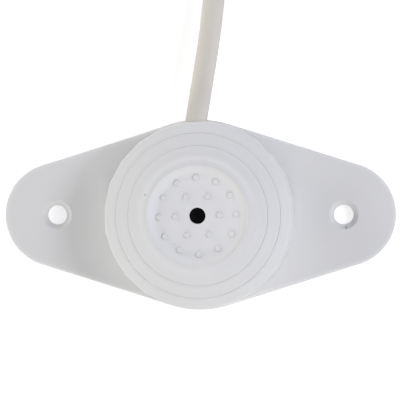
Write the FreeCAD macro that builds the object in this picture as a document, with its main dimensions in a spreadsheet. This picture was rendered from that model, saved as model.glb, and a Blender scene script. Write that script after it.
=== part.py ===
import FreeCAD, Part
import math
import os

import Sketcher
from FreeCAD import Placement, Rotation, Vector

# Surveillance microphone: a thin lozenge base plate with two countersunk screw holes, a round
# stepped cap that snaps onto it, a microphone capsule with its small circuit board inside, and
# a cable that leaves the cap's side wall.
# The flat back of the plate lies on z = 0, x runs along the plate, and y points to the side
# where the cable leaves. Millimetres and degrees.

doc = FreeCAD.newDocument("surveillance_microphone")
sheet = doc.addObject("Spreadsheet::Sheet", "Sizes")

# Driving sizes: name, value, what it is
SIZES = [
    ("plate_waist_radius", 19.45, "half the width of the base plate, across its middle"),
    ("plate_end_radius", 10.65, "radius of the plate's two rounded ends"),
    ("plate_thickness", 2.0, "thickness of the base plate"),
    ("plate_edge_round", 0.35, "rounding of the plate's front edge"),
    ("screw_spacing", 58.7, "distance between the two fixing holes"),
    ("screw_hole_diameter", 4.0, "bore of a fixing hole"),
    ("countersink_diameter", 6.0, "wide end of a fixing hole's countersink"),
    ("countersink_angle", 90.0, "included angle of the countersink"),
    ("cap_setback", 0.25, "from the plate's waist in to a flat of the cap's wall"),
    ("cap_flats", 24, "number of flats round the cap's wall"),
    ("cap_draft", 3.0, "how far the cap's wall leans inwards"),
    ("cap_turn", 2.1, "how far the cap is turned on its plate"),
    ("cap_wall", 1.6, "wall thickness of the cap"),
    ("cap_edge_round", 0.4, "rounding where the cap's wall meets its front"),
    ("flange_height", 10.4, "from the back to the top of the cap's wall"),
    ("band_1_width", 2.16, "from the edge of the front in to the outer groove"),
    ("groove_1_height", 11.4, "height of the cap's front at the outer groove"),
    ("band_2_width", 2.55, "from the outer groove in to the inner groove"),
    ("groove_2_height", 12.35, "height of the cap's front at the inner groove"),
    ("groove_width", 0.36, "width of both grooves at their mouth"),
    ("groove_depth", 0.12, "depth of both grooves"),
    ("band_3_width", 2.0, "from the inner groove in to the terrace"),
    ("terrace_width", 0.85, "width of the level terrace inside the third band"),
    ("terrace_height", 13.1, "height of the terrace"),
    ("terrace_round", 0.8, "rounding of the terrace's two edges"),
    ("collar_width", 1.05, "from the terrace in to the top of the collar round the disc"),
    ("collar_height", 13.4, "height of the collar, the highest of the cap"),
    ("collar_step_width", 0.1, "width of the step from the collar in to the disc's rim"),
    ("collar_step", 0.2, "height of that step"),
    ("dish_width", 2.0, "width of the disc's rising rim"),
    ("dish_bend", 0.2, "how far the rim has risen halfway"),
    ("dish_round", 3.0, "rounding of the rim's two bends"),
    ("disc_height", 12.4, "height of the disc"),
    ("sound_hole_diameter", 3.3, "the only hole through the cap's front"),
    ("stud_radius", 0.66, "radius of a small round stud at its foot"),
    ("stud_lean", 0.14, "how far a stud's side leans in, up to its flat top"),
    ("stud_height", 0.25, "how far a stud stands out"),
    ("outer_stud_inset", 2.3, "from the disc's rim in to the outer ring of studs"),
    ("outer_studs", 12, "number of studs in the outer ring"),
    ("stud_ring_gap", 3.33, "from the outer ring of studs in to the inner one"),
    ("inner_studs", 6, "number of studs in the inner ring"),
    ("terrace_wall", 2.1, "wall thickness of the cap under the terrace"),
    ("snap_gap", 0.2, "clearance between the plate's spigot and the cap"),
    ("spigot_wall", 1.2, "wall of the spigot ring on the plate"),
    ("spigot_height", 3.4, "height of the spigot ring above the plate"),
    ("bead_reach", 0.35, "how far a snap bead stands out of the spigot"),
    ("bead_height", 0.9, "height of a snap bead"),
    ("bead_rise", 1.8, "from the plate to the bottom of a snap bead"),
    ("bead_arc", 20.0, "arc that a snap bead covers"),
    ("snap_beads", 4, "number of snap beads"),
    ("gate_length", 6.0, "length of the cable's opening in the spigot"),
    ("fit_gap", 0.1, "clearance between pieces that fit in each other"),
    ("bore_spare", 0.2, "how much deeper than its screw a bore is"),
    ("capsule_diameter", 9.7, "outside of the microphone capsule"),
    ("capsule_length", 4.5, "length of the microphone capsule"),
    ("capsule_board_thickness", 0.6, "small board that closes the capsule's back"),
    ("capsule_rim", 0.35, "rolled rim of the can round that board"),
    ("capsule_bevel", 0.25, "bevel of the capsule's front edge"),
    ("felt_diameter", 8.5, "felt between the capsule and the cap"),
    ("felt_thickness", 0.35, "thickness of that felt"),
    ("boot_wall", 0.8, "wall of the rubber boot round the capsule"),
    ("boot_length", 4.0, "length of the rubber boot"),
    ("boot_bevel", 0.2, "bevel of the boot's front edge"),
    ("socket_wall", 0.8, "wall of the cap's socket for the boot"),
    ("socket_depth", 4.2, "depth of that socket"),
    ("pin_diameter", 0.6, "capsule's two pins, down to the circuit board"),
    ("pin_spacing", 2.5, "distance between the capsule's pins"),
    ("pin_length", 0.95, "room between the capsule and the circuit board"),
    ("board_margin", 3.5, "from the spigot in to the circuit board's edge"),
    ("board_clearance", 0.4, "from the cable clamp to the board's straight side"),
    ("board_thickness", 1.0, "thickness of the circuit board"),
    ("posts", 3, "number of posts under the circuit board"),
    ("post_radius", 2.0, "radius of those posts"),
    ("post_inset", 1.95, "from the board's edge in to the middle of a post"),
    ("board_screw_diameter", 2.0, "thread of the circuit board's screws"),
    ("board_screw_bite", 1.2, "how far those screws reach past the foot of a post"),
    ("component_inset", 3.0, "from the board's edge in to the ring of larger components"),
    ("screw_head_spread", 1.8, "diameter of a pan head, in thread diameters"),
    ("screw_head_height", 0.6, "height of a pan head, in thread diameters"),
    ("preamp_length", 4.9, "length of the preamplifier chip"),
    ("preamp_width", 3.9, "width of the preamplifier chip"),
    ("preamp_height", 1.5, "height of the preamplifier chip"),
    ("preamp_pitch", 1.27, "from leg to leg of the preamplifier chip"),
    ("preamp_legs", 4, "legs on each side of the preamplifier chip"),
    ("regulator_length", 2.9, "length of the voltage regulator"),
    ("regulator_width", 1.6, "width of the voltage regulator"),
    ("regulator_height", 1.1, "height of the voltage regulator"),
    ("regulator_pitch", 0.95, "from leg to leg of the voltage regulator"),
    ("regulator_legs", 3, "legs on each side of the voltage regulator"),
    ("leg_reach", 0.9, "how far a leg stands out of its chip"),
    ("leg_width", 0.4, "width of a leg"),
    ("chip_lift", 0.1, "room under a chip with legs"),
    ("diode_length", 2.0, "length of the protection diode"),
    ("diode_width", 3.6, "width of the protection diode"),
    ("diode_height", 1.6, "height of the protection diode"),
    ("ceramic_length", 2.0, "length of a ceramic capacitor"),
    ("ceramic_width", 1.25, "width of a ceramic capacitor"),
    ("ceramic_height", 0.8, "height of a ceramic capacitor"),
    ("resistor_length", 2.0, "length of a resistor"),
    ("resistor_width", 1.25, "width of a resistor"),
    ("resistor_height", 0.5, "height of a resistor"),
    ("end_cap_length", 0.4, "length of the metal end of a small component"),
    ("end_cap_step", 0.05, "how much thicker that metal end is"),
    ("electrolytic_diameter", 4.0, "can of an electrolytic capacitor"),
    ("electrolytic_height", 4.5, "height of an electrolytic capacitor"),
    ("electrolytic_bevel", 0.25, "bevel of its can's top edge"),
    ("foot_margin", 0.15, "how far its square foot reaches past the can"),
    ("foot_height", 0.6, "height of that foot"),
    ("foot_cut", 0.8, "cut corners of that foot"),
    ("cable_diameter", 4.4, "outside of the cable"),
    ("cable_height", 4.6, "height of the cable's middle where it leaves the cap"),
    ("cable_lean", 9.5, "how far the cable leans towards +x"),
    ("cable_offset", 0.1, "how far the cable lies off the middle of the cap's notch"),
    ("cable_straight", 4.6, "how far the cable runs straight outside the cap"),
    ("cable_end", 0.7, "how far the cable's jacket reaches in past its clamp"),
    ("cable_gap", 0.45, "room on each side of the cable in the cap's notch"),
    ("clamp_inset", 8.6, "from the cap's wall to the middle of the cable clamp"),
    ("clamp_width", 13.2, "width of the cable clamp across the cable"),
    ("clamp_length", 2.6, "length of the cable clamp along the cable"),
    ("clamp_wall", 1.0, "thickness of the clamp over the cable"),
    ("clamp_ear", 1.2, "thickness of the clamp's ears"),
    ("clamp_screw_offset", 4.9, "from the cable's middle to a clamp screw"),
    ("clamp_screw_diameter", 1.6, "thread of the clamp's screws"),
    ("clamp_screw_length", 3.2, "length of the clamp's screws"),
    ("core_diameter", 1.1, "outside of one insulated core of the cable"),
    ("tip_diameter", 0.8, "bare tinned end of a core"),
    ("tip_length", 5.0, "length of the bare tinned end"),
    ("coil_middle_radius", 25.0, "radius of the put-away coil, at the middle of its turns"),
    ("coil_columns", 3, "turns that lie side by side"),
    ("coil_layers", 2, "turns that lie on each other"),
    ("tie_thickness", 0.5, "thickness of the ribbon that ties the coil"),
    ("tie_width", 3.0, "width of that ribbon"),
    ("tie_round", 1.2, "rounding of the ribbon's loop round the coil"),
    ("twist_radius", 0.8, "radius of the ribbon's twisted ends"),
    ("twist_length", 9.0, "length of the twisted ends"),
]

for row, (alias, value, note) in enumerate(SIZES, start=1):
    sheet.set(f"A{row}", note)
    sheet.set(f"B{row}", str(value))
    sheet.setAlias(f"B{row}", alias)
doc.recompute()


def size(text):
    """The number that an expression on the sheet gives, such as 'Sizes.cap_wall * 2'."""
    found = sheet.evalExpression(text)
    return float(getattr(found, "Value", found))


# Sizes that follow from the driving ones, as expressions for the sheet: the cap's outside
CAP_BASE = "(Sizes.plate_waist_radius - Sizes.cap_setback)"
CAP_LEAN = "tan(Sizes.cap_draft * 1 deg)"
FLANGE_RADIUS = f"({CAP_BASE} - (Sizes.flange_height - Sizes.plate_thickness) * {CAP_LEAN})"
GROOVE_1_RADIUS = f"({FLANGE_RADIUS} - Sizes.band_1_width)"
GROOVE_2_RADIUS = f"({GROOVE_1_RADIUS} - Sizes.band_2_width)"
TERRACE_OUTER = f"({GROOVE_2_RADIUS} - Sizes.band_3_width)"
TERRACE_INNER = f"({TERRACE_OUTER} - Sizes.terrace_width)"
COLLAR_RADIUS = f"({TERRACE_INNER} - Sizes.collar_width)"
DISC_RADIUS = f"({COLLAR_RADIUS} - Sizes.collar_step_width)"
DISH_BEND_RADIUS = f"({DISC_RADIUS} - Sizes.dish_width / 2)"
DISH_RADIUS = f"({DISC_RADIUS} - Sizes.dish_width)"
FLANGE_SLOPE = "((Sizes.groove_1_height - Sizes.flange_height) / Sizes.band_1_width)"
OUTER_STUD_RING = f"({DISC_RADIUS} - Sizes.outer_stud_inset)"
INNER_STUD_RING = f"({OUTER_STUD_RING} - Sizes.stud_ring_gap)"

# The cap's inside and the snap fit
CAP_BORE = f"({FLANGE_RADIUS} - Sizes.cap_wall)"
CEILING = "(Sizes.disc_height - Sizes.cap_wall)"
SPIGOT_RADIUS = f"({CAP_BORE} - Sizes.snap_gap)"
BEAD_FOOT = "(Sizes.plate_thickness + Sizes.bead_rise)"

# The capsule hangs from the cap, and the board stands under it
CAPSULE_FRONT = f"({CEILING} - Sizes.felt_thickness)"
CAPSULE_BACK = f"({CAPSULE_FRONT} - Sizes.capsule_length)"
CAPSULE_RADIUS = "(Sizes.capsule_diameter / 2)"
BOOT_RADIUS = f"({CAPSULE_RADIUS} + Sizes.boot_wall)"
BOARD_TOP = f"({CAPSULE_BACK} - Sizes.pin_length)"
BOARD_UNDERSIDE = f"({BOARD_TOP} - Sizes.board_thickness)"
POST_HEIGHT = f"({BOARD_UNDERSIDE} - Sizes.plate_thickness)"
BOARD_SCREW_LENGTH = f"(Sizes.board_thickness + {POST_HEIGHT} + Sizes.board_screw_bite)"
BOARD_RADIUS = f"({SPIGOT_RADIUS} - Sizes.spigot_wall - Sizes.board_margin)"
POST_RING = f"({BOARD_RADIUS} - Sizes.post_inset)"

# The cable, where it leaves the cap, and its clamp
LEAN = "(Sizes.cable_lean * 1 deg)"
EXIT_X = f"(Sizes.cable_offset - {CAP_BASE} * sin(Sizes.cap_turn * 1 deg))"
EXIT_Y = f"({CAP_BASE} * cos(Sizes.cap_turn * 1 deg))"
NOTCH_RADIUS = "(Sizes.cable_diameter / 2 + Sizes.cable_gap)"
CABLE_RADIUS = "(Sizes.cable_diameter / 2)"
SEAT_TOP = "(Sizes.cable_height - Sizes.fit_gap)"
CLAMP_NEAR = "(Sizes.clamp_inset + Sizes.clamp_length / 2)"
CLAMP_CORNER_Y = f"({EXIT_Y} - {CLAMP_NEAR} * cos{LEAN} - Sizes.clamp_width / 2 * sin{LEAN})"
BOARD_FLAT = f"({CLAMP_CORNER_Y} - Sizes.board_clearance)"

FIRST_POST_ANGLE = 30.0
FIRST_BEAD_ANGLE = 45.0
PAST = 1.0  # how far a cutting profile reaches past what it cuts
NEAR = 1e-3  # two lengths closer than this count as equal
SINK = 0.2  # how far an added piece reaches into the one that carries it


# Sketches
def new_body(name):
    body = doc.addObject("PartDesign::Body", name)
    body.Label = name
    return body


def origin_feature(body, role):
    return next(item for item in body.Origin.OriginFeatures if item.Role == role)


def new_sketch(body, name, plane="XY_Plane", height=None, x=None, y=None, angle=None):
    """A sketch on one of its body's origin planes, moved and turned in that plane's own frame."""
    sketch = body.newObject("Sketcher::SketchObject", f"{body.Name}_{name}")
    sketch.AttachmentSupport = (origin_feature(body, plane), [""])
    sketch.MapMode = "FlatFace"
    if angle is not None:
        sketch.AttachmentOffset = Placement(Vector(0, 0, 0), Rotation(Vector(0, 0, 1), 10))
        sketch.setExpression("AttachmentOffset.Rotation.Angle", f"({angle}) * 1 deg")
    for axis, expression in (("x", x), ("y", y), ("z", height)):
        if expression is not None:
            sketch.setExpression(f"AttachmentOffset.Base.{axis}", expression)
    return sketch


def hold_point(sketch, geometry, position, x, y):
    """Ties one point of a sketch to its x and y, given as expressions."""
    for kind, expression, axis in (("DistanceX", x, -2), ("DistanceY", y, -1)):
        if expression == "0":
            sketch.addConstraint(Sketcher.Constraint("PointOnObject", geometry, position, axis))
            continue
        index = sketch.addConstraint(
            Sketcher.Constraint(kind, geometry, position, size(expression))
        )
        sketch.setExpression(f"Constraints[{index}]", expression)


def outline(sketch, corners):
    """A closed outline of straight sides through corners, each a pair of expressions."""
    points = [Vector(size(x), size(y), 0) for x, y in corners]
    first = sketch.GeometryCount
    for start, end in zip(points, points[1:] + points[:1]):
        sketch.addGeometry(Part.LineSegment(start, end))
    last = sketch.GeometryCount - 1
    for side in range(first, last + 1):
        after = side + 1 if side < last else first
        sketch.addConstraint(Sketcher.Constraint("Coincident", side, 2, after, 1))
    for side, (x, y) in enumerate(corners, start=first):
        hold_point(sketch, side, 1, x, y)
    return sketch


def box_outline(sketch, left, right, bottom, top):
    return outline(sketch, [(left, bottom), (right, bottom), (right, top), (left, top)])


def circle(sketch, radius, x="0", y="0"):
    index = sketch.addGeometry(
        Part.Circle(Vector(size(x), size(y), 0), Vector(0, 0, 1), size(radius))
    )
    hold_point(sketch, index, 3, x, y)
    number = sketch.addConstraint(Sketcher.Constraint("Radius", index, size(radius)))
    sketch.setExpression(f"Constraints[{number}]", radius)
    return sketch


# Features
def extrude(kind, sketch, length, backwards=False):
    body = sketch.getParentGeoFeatureGroup()
    feature = body.newObject(f"PartDesign::{kind}", f"{sketch.Name}_{kind.lower()}")
    feature.Profile = sketch
    feature.Reversed = backwards
    if length is None:
        feature.Type = "ThroughAll"
    else:
        feature.setExpression("Length", length)
    return feature


def pad(sketch, length, backwards=False):
    return extrude("Pad", sketch, length, backwards)


def pocket(sketch, length=None, backwards=False):
    return extrude("Pocket", sketch, length, backwards)


def turn(kind, sketch, axis="V_Axis", angle=None):
    """A profile turned about an axis: a Revolution adds, a Groove cuts."""
    body = sketch.getParentGeoFeatureGroup()
    feature = body.newObject(f"PartDesign::{kind}", f"{sketch.Name}_{kind.lower()}")
    feature.Profile = sketch
    feature.ReferenceAxis = (sketch, [axis])
    if angle is None:
        feature.Angle = 360
    else:
        feature.setExpression("Angle", angle)
        feature.Midplane = True
    return feature


def repeat_round(feature, count):
    """Repeats a feature evenly round the body's z axis."""
    body = feature.getParentGeoFeatureGroup()
    pattern = body.newObject("PartDesign::PolarPattern", f"{feature.Name}_ring")
    pattern.Originals = [feature]
    pattern.Axis = (origin_feature(body, "Z_Axis"), [""])
    pattern.Angle = 360
    pattern.setExpression("Occurrences", count)
    body.Tip = pattern
    return pattern


def round_edges(feature, radius, wanted, name="round"):
    """Rounds the edges of a finished feature that the function wanted picks."""
    doc.recompute()
    body = feature.getParentGeoFeatureGroup()
    names = [f"Edge{i}" for i, edge in enumerate(feature.Shape.Edges, start=1) if wanted(edge)]
    fillet = body.newObject("PartDesign::Fillet", f"{feature.Name}_{name}")
    fillet.Base = (feature, names)
    fillet.setExpression("Radius", radius)
    return fillet


def bevel_edges(feature, width, wanted):
    """Cuts the edges that the function wanted picks off at 45 degrees."""
    doc.recompute()
    body = feature.getParentGeoFeatureGroup()
    names = [f"Edge{i}" for i, edge in enumerate(feature.Shape.Edges, start=1) if wanted(edge)]
    chamfer = body.newObject("PartDesign::Chamfer", f"{feature.Name}_bevel")
    chamfer.Base = (feature, names)
    chamfer.setExpression("Size", width)
    return chamfer


def is_circle(edge, radius, height):
    """True for a whole circle of that radius about the z axis, at that height."""
    if not isinstance(edge.Curve, Part.Circle):
        return False
    near = abs(edge.Curve.Radius - size(radius)) < NEAR
    return near and abs(edge.Curve.Center.z - size(height)) < NEAR


def lies_at(edge, height):
    return all(abs(vertex.Point.z - size(height)) < NEAR for vertex in edge.Vertexes)


def place(item, x=0.0, y=0.0, z=0.0, angle=0.0):
    item.Placement = Placement(Vector(x, y, z), Rotation(Vector(0, 0, 1), angle))
    return item


# Base plate: outline of three circles and their common tangents
def plate_outline(body):
    sketch = new_sketch(body, "outline")
    waist = size("Sizes.plate_waist_radius")
    end = size("Sizes.plate_end_radius")
    reach = size("Sizes.screw_spacing / 2")
    tilt = math.acos((waist - end) / reach)
    up = Vector(0, 0, 1)

    def arc(x, radius, start, finish):
        ring = Part.Circle(Vector(x, 0, 0), up, radius)
        return sketch.addGeometry(Part.ArcOfCircle(ring, start, finish))

    def side(sign_x, sign_y):
        normal = Vector(sign_x * math.cos(tilt), sign_y * math.sin(tilt), 0)
        start = normal * waist
        finish = Vector(sign_x * reach, 0, 0) + normal * end
        return sketch.addGeometry(Part.LineSegment(start, finish))

    right = arc(reach, end, -tilt, tilt)
    left = arc(-reach, end, math.pi - tilt, math.pi + tilt)
    top = arc(0, waist, tilt, math.pi - tilt)
    bottom = arc(0, waist, math.pi + tilt, 2 * math.pi - tilt)
    sides = [side(1, 1), side(-1, 1), side(-1, -1), side(1, -1)]
    joints = [
        (sides[0], 1, top, 1),
        (sides[0], 2, right, 2),
        (sides[1], 1, top, 2),
        (sides[1], 2, left, 1),
        (sides[2], 1, bottom, 1),
        (sides[2], 2, left, 2),
        (sides[3], 1, bottom, 2),
        (sides[3], 2, right, 1),
    ]
    for joint in joints:
        sketch.addConstraint(Sketcher.Constraint("Tangent", *joint))
    hold_point(sketch, top, 3, "0", "0")
    hold_point(sketch, bottom, 3, "0", "0")
    hold_point(sketch, right, 3, "Sizes.screw_spacing / 2", "0")
    hold_point(sketch, left, 3, "-Sizes.screw_spacing / 2", "0")
    for curve, radius in ((top, "waist"), (bottom, "waist"), (left, "end"), (right, "end")):
        alias = f"Sizes.plate_{radius}_radius"
        number = sketch.addConstraint(Sketcher.Constraint("Radius", curve, size(alias)))
        sketch.setExpression(f"Constraints[{number}]", alias)
    return sketch


def in_cable_frame(body, name, height):
    """A level sketch with its origin where the cable leaves the cap and y along the cable."""
    return new_sketch(body, name, "XY_Plane", height, EXIT_X, EXIT_Y, "-Sizes.cable_lean")


def across_cable(body, name, inset):
    """An upright sketch across the cable, that far inside the cap's wall."""
    sketch = new_sketch(body, name, "XZ_Plane")
    sketch.AttachmentOffset = Placement(Vector(0, 0, 0), Rotation(Vector(0, 1, 0), 10))
    sketch.setExpression("AttachmentOffset.Rotation.Angle", f"-{LEAN}")
    sketch.setExpression("AttachmentOffset.Base.x", f"{EXIT_X} - ({inset}) * sin{LEAN}")
    sketch.setExpression("AttachmentOffset.Base.z", f"-({EXIT_Y} - ({inset}) * cos{LEAN})")
    return sketch


def post_middle(angle):
    """Where a post stands, and where its screw goes through the board."""
    return (f"{POST_RING} * cos({angle} deg)", f"{POST_RING} * sin({angle} deg)")


def make_base_plate():
    body = new_body("base_plate")
    slab = pad(plate_outline(body), "Sizes.plate_thickness")
    round_edges(slab, "Sizes.plate_edge_round", lambda e: lies_at(e, "Sizes.plate_thickness"))

    # Fixing holes, countersunk from the front
    top = "Sizes.plate_thickness"
    holes = new_sketch(body, "fixing_holes", height=top)
    for x in ("Sizes.screw_spacing / 2", "-Sizes.screw_spacing / 2"):
        circle(holes, "Sizes.screw_hole_diameter / 2", x)
    doc.recompute()
    hole = body.newObject("PartDesign::Hole", "base_plate_fixing_hole")
    hole.Profile = holes
    doc.recompute()
    hole.DepthType = "ThroughAll"
    hole.HoleCutType = "Countersink"
    hole.HoleCutCustomValues = True
    hole.setExpression("Diameter", "Sizes.screw_hole_diameter")
    hole.setExpression("HoleCutDiameter", "Sizes.countersink_diameter")
    hole.setExpression("HoleCutCountersinkAngle", "Sizes.countersink_angle")

    # Spigot ring that the cap slides over, open where the cable passes
    ring = new_sketch(body, "spigot", height=top)
    circle(ring, SPIGOT_RADIUS)
    circle(ring, f"{SPIGOT_RADIUS} - Sizes.spigot_wall")
    pad(ring, "Sizes.spigot_height")
    bead = new_sketch(body, "bead", "XZ_Plane")
    outline(
        bead,
        [
            (f"{SPIGOT_RADIUS} - {SINK}", BEAD_FOOT),
            (SPIGOT_RADIUS, BEAD_FOOT),
            (f"{SPIGOT_RADIUS} + Sizes.bead_reach", f"{BEAD_FOOT} + Sizes.bead_height / 3"),
            (SPIGOT_RADIUS, f"{BEAD_FOOT} + Sizes.bead_height"),
            (f"{SPIGOT_RADIUS} - {SINK}", f"{BEAD_FOOT} + Sizes.bead_height"),
        ],
    )
    bead.AttachmentOffset = Placement(
        Vector(0, 0, 0), Rotation(Vector(0, 1, 0), FIRST_BEAD_ANGLE)
    )
    repeat_round(turn("Revolution", bead, angle="Sizes.bead_arc"), "Sizes.snap_beads")

    # Posts under the circuit board
    posts = new_sketch(body, "post", height=f"{top} - {SINK}")
    circle(posts, "Sizes.post_radius", *post_middle(FIRST_POST_ANGLE))
    repeat_round(pad(posts, f"{POST_HEIGHT} + {SINK}"), "Sizes.posts")
    bores = new_sketch(body, "post_bore", height=BOARD_UNDERSIDE)
    bore = "(Sizes.board_screw_diameter + Sizes.fit_gap) / 2"
    circle(bores, bore, *post_middle(FIRST_POST_ANGLE))
    depth = f"{BOARD_SCREW_LENGTH} - Sizes.board_thickness + Sizes.bore_spare"
    repeat_round(pocket(bores, depth), "Sizes.posts")

    # Seat under the cable, with a bore at each side for the clamp's screws
    gate = in_cable_frame(body, "gate", top)
    box_outline(gate, f"-{NOTCH_RADIUS}", NOTCH_RADIUS, "-Sizes.gate_length", "0")
    pocket(gate, f"Sizes.spigot_height + {PAST}", backwards=True)
    block = in_cable_frame(body, "seat", f"{top} - {SINK}")
    half_width = "Sizes.clamp_width / 2"
    ends = [f"-Sizes.clamp_inset {sign} Sizes.clamp_length / 2" for sign in "-+"]
    box_outline(block, f"-{half_width}", half_width, *ends)
    pad(block, f"{SEAT_TOP} - {top} + {SINK}")
    trough = across_cable(body, "trough", "Sizes.clamp_inset + Sizes.clamp_length")
    circle(trough, CABLE_RADIUS, y="Sizes.cable_height")
    pocket(trough, "2 * Sizes.clamp_length")
    pilots = in_cable_frame(body, "clamp_bore", SEAT_TOP)
    for x in ("Sizes.clamp_screw_offset", "-Sizes.clamp_screw_offset"):
        circle(pilots, "(Sizes.clamp_screw_diameter + Sizes.fit_gap) / 2", x, "-Sizes.clamp_inset")
    pocket(pilots, "Sizes.clamp_screw_length - Sizes.clamp_ear + Sizes.bore_spare")
    return body


# Front cap: a faceted wall and a stepped, domed front
def make_front_cap():
    body = new_body("front_cap")
    count = int(size("Sizes.cap_flats"))
    wall = new_sketch(body, "wall", height="Sizes.plate_thickness")
    corner_radius = f"{CAP_BASE} / cos(180 deg / {count})"
    corners = []
    for number in range(count):
        angle = f"({number + 0.5} * 360 deg / {count})"
        corners.append((f"{corner_radius} * cos{angle}", f"{corner_radius} * sin{angle}"))
    outline(wall, corners)
    drum = pad(wall, "Sizes.collar_height - Sizes.plate_thickness")
    drum.setExpression("TaperAngle", "-Sizes.cap_draft")

    # The front, cut by one turned profile from the disc out over its collar to the wall
    above = f"Sizes.collar_height + {PAST}"
    rim = f"{FLANGE_RADIUS} + {PAST}"
    dish_bend_height = "Sizes.disc_height + Sizes.dish_bend"
    front = new_sketch(body, "front", "XZ_Plane")
    outline(
        front,
        [
            ("0", above),
            ("0", "Sizes.disc_height"),
            (DISH_RADIUS, "Sizes.disc_height"),
            (DISH_BEND_RADIUS, dish_bend_height),
            (DISC_RADIUS, "Sizes.collar_height - Sizes.collar_step"),
            (COLLAR_RADIUS, "Sizes.collar_height"),
            (TERRACE_INNER, "Sizes.terrace_height"),
            (TERRACE_OUTER, "Sizes.terrace_height"),
            (GROOVE_2_RADIUS, "Sizes.groove_2_height"),
            (GROOVE_1_RADIUS, "Sizes.groove_1_height"),
            (rim, f"Sizes.flange_height - {PAST} * {FLANGE_SLOPE}"),
            (rim, above),
        ],
    )
    faced = turn("Groove", front)

    def is_terrace(edge):
        radii = (TERRACE_INNER, TERRACE_OUTER)
        return any(is_circle(edge, radius, "Sizes.terrace_height") for radius in radii)

    def is_dish(edge):
        bends = ((DISH_RADIUS, "Sizes.disc_height"), (DISH_BEND_RADIUS, dish_bend_height))
        return any(is_circle(edge, radius, height) for radius, height in bends)

    def is_wall_top(edge):
        middle = edge.valueAt((edge.FirstParameter + edge.LastParameter) / 2)
        outside = math.hypot(middle.x, middle.y) > size(CAP_BORE)
        level = abs(edge.Vertexes[0].Z - edge.Vertexes[-1].Z) < NEAR
        return outside and level and abs(middle.z - size("Sizes.flange_height")) < PAST

    terrace = round_edges(faced, "Sizes.terrace_round", is_terrace)
    dish = round_edges(terrace, "Sizes.dish_round", is_dish)
    round_edges(dish, "Sizes.cap_edge_round", is_wall_top)
    doc.recompute()

    # Two fine grooves where the slope of the front changes
    half_groove = "Sizes.groove_width / 2"
    for name, radius in (("groove_1", GROOVE_1_RADIUS), ("groove_2", GROOVE_2_RADIUS)):
        groove = new_sketch(body, name, "XZ_Plane")
        mouth = f"Sizes.{name}_height"
        outline(
            groove,
            [
                (radius, f"{mouth} - Sizes.groove_depth"),
                (f"{radius} + {half_groove}", mouth),
                (f"{radius} + {half_groove}", f"{mouth} + {PAST}"),
                (f"{radius} - {half_groove}", f"{mouth} + {PAST}"),
                (f"{radius} - {half_groove}", mouth),
            ],
        )
        turn("Groove", groove)

    # The hollow, which follows the front
    hollow = new_sketch(body, "hollow", "XZ_Plane")
    outline(
        hollow,
        [
            ("0", f"Sizes.plate_thickness - {PAST}"),
            (CAP_BORE, f"Sizes.plate_thickness - {PAST}"),
            (CAP_BORE, "Sizes.flange_height - Sizes.cap_wall"),
            (TERRACE_OUTER, "Sizes.terrace_height - Sizes.terrace_wall"),
            (TERRACE_INNER, CEILING),
            ("0", CEILING),
        ],
    )
    turn("Groove", hollow)

    # Socket for the capsule's boot, the sound hole, and the groove for the snap beads
    socket = new_sketch(body, "socket", height=f"{CEILING} - Sizes.socket_depth")
    circle(socket, BOOT_RADIUS)
    circle(socket, f"{BOOT_RADIUS} + Sizes.socket_wall")
    pad(socket, f"Sizes.socket_depth + {SINK}")
    hole = new_sketch(body, "sound_hole", height="Sizes.disc_height")
    circle(hole, "Sizes.sound_hole_diameter / 2")
    pocket(hole, "2 * Sizes.cap_wall")
    latch = new_sketch(body, "latch", "XZ_Plane")
    reach = f"{SPIGOT_RADIUS} + Sizes.bead_reach + Sizes.fit_gap"
    box_outline(
        latch,
        f"{CAP_BORE} - {PAST}",
        reach,
        f"{BEAD_FOOT} - Sizes.fit_gap",
        f"{BEAD_FOOT} + Sizes.bead_height + Sizes.fit_gap",
    )
    turn("Groove", latch)

    # Small round studs, in two rings
    for name, ring in (("outer", OUTER_STUD_RING), ("inner", INNER_STUD_RING)):
        stud = new_sketch(body, f"{name}_stud", "XZ_Plane")
        repeat_round(stud_profile(stud, ring), f"Sizes.{name}_studs")

    # Notch for the cable: straight sides and a round top
    inside = f"-({CAP_BORE} - {PAST})"
    through = f"Sizes.cap_wall + 3 * {PAST}"
    notch = new_sketch(body, "notch", "XZ_Plane", height=inside)
    foot = f"Sizes.plate_thickness - {PAST}"
    box_outline(notch, f"-{NOTCH_RADIUS}", NOTCH_RADIUS, foot, "Sizes.cable_height")
    pocket(notch, through)
    crown = new_sketch(body, "notch_top", "XZ_Plane", height=inside)
    circle(crown, NOTCH_RADIUS, y="Sizes.cable_height")
    pocket(crown, through)
    return place(body, angle=size("Sizes.cap_turn"))


def stud_profile(sketch, ring):
    """A low stud with a flat top, turned about an axis of its own at the ring's radius."""
    top = "Sizes.disc_height + Sizes.stud_height"
    root = f"Sizes.disc_height - {SINK}"
    side = f"{ring} + Sizes.stud_radius"
    corners = [
        (ring, root),
        (side, root),
        (side, "Sizes.disc_height"),
        (f"{side} - Sizes.stud_lean", top),
        (ring, top),
    ]
    outline(sketch, corners)
    ends = [Vector(size(x), size(y), 0) for x, y in (corners[0], corners[-1])]
    axis = sketch.addGeometry(Part.LineSegment(*ends), True)
    sketch.addConstraint(Sketcher.Constraint("Coincident", axis, 1, 0, 1))
    sketch.addConstraint(Sketcher.Constraint("Coincident", axis, 2, len(corners) - 1, 1))
    return turn("Revolution", sketch, "Axis0")


# Plain turned and boxed pieces
def cylinder(name, radius, height, x="0", y="0", z="0"):
    piece = doc.addObject("Part::Cylinder", name)
    piece.Label = name
    piece.setExpression("Radius", radius)
    piece.setExpression("Height", height)
    for axis, expression in (("x", x), ("y", y), ("z", z)):
        piece.setExpression(f"Placement.Base.{axis}", expression)
    return piece


def group(name, pieces):
    """Like pieces that share one file, as separate solids."""
    compound = doc.addObject("Part::Compound", name)
    compound.Label = name
    compound.Links = pieces
    return compound


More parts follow.
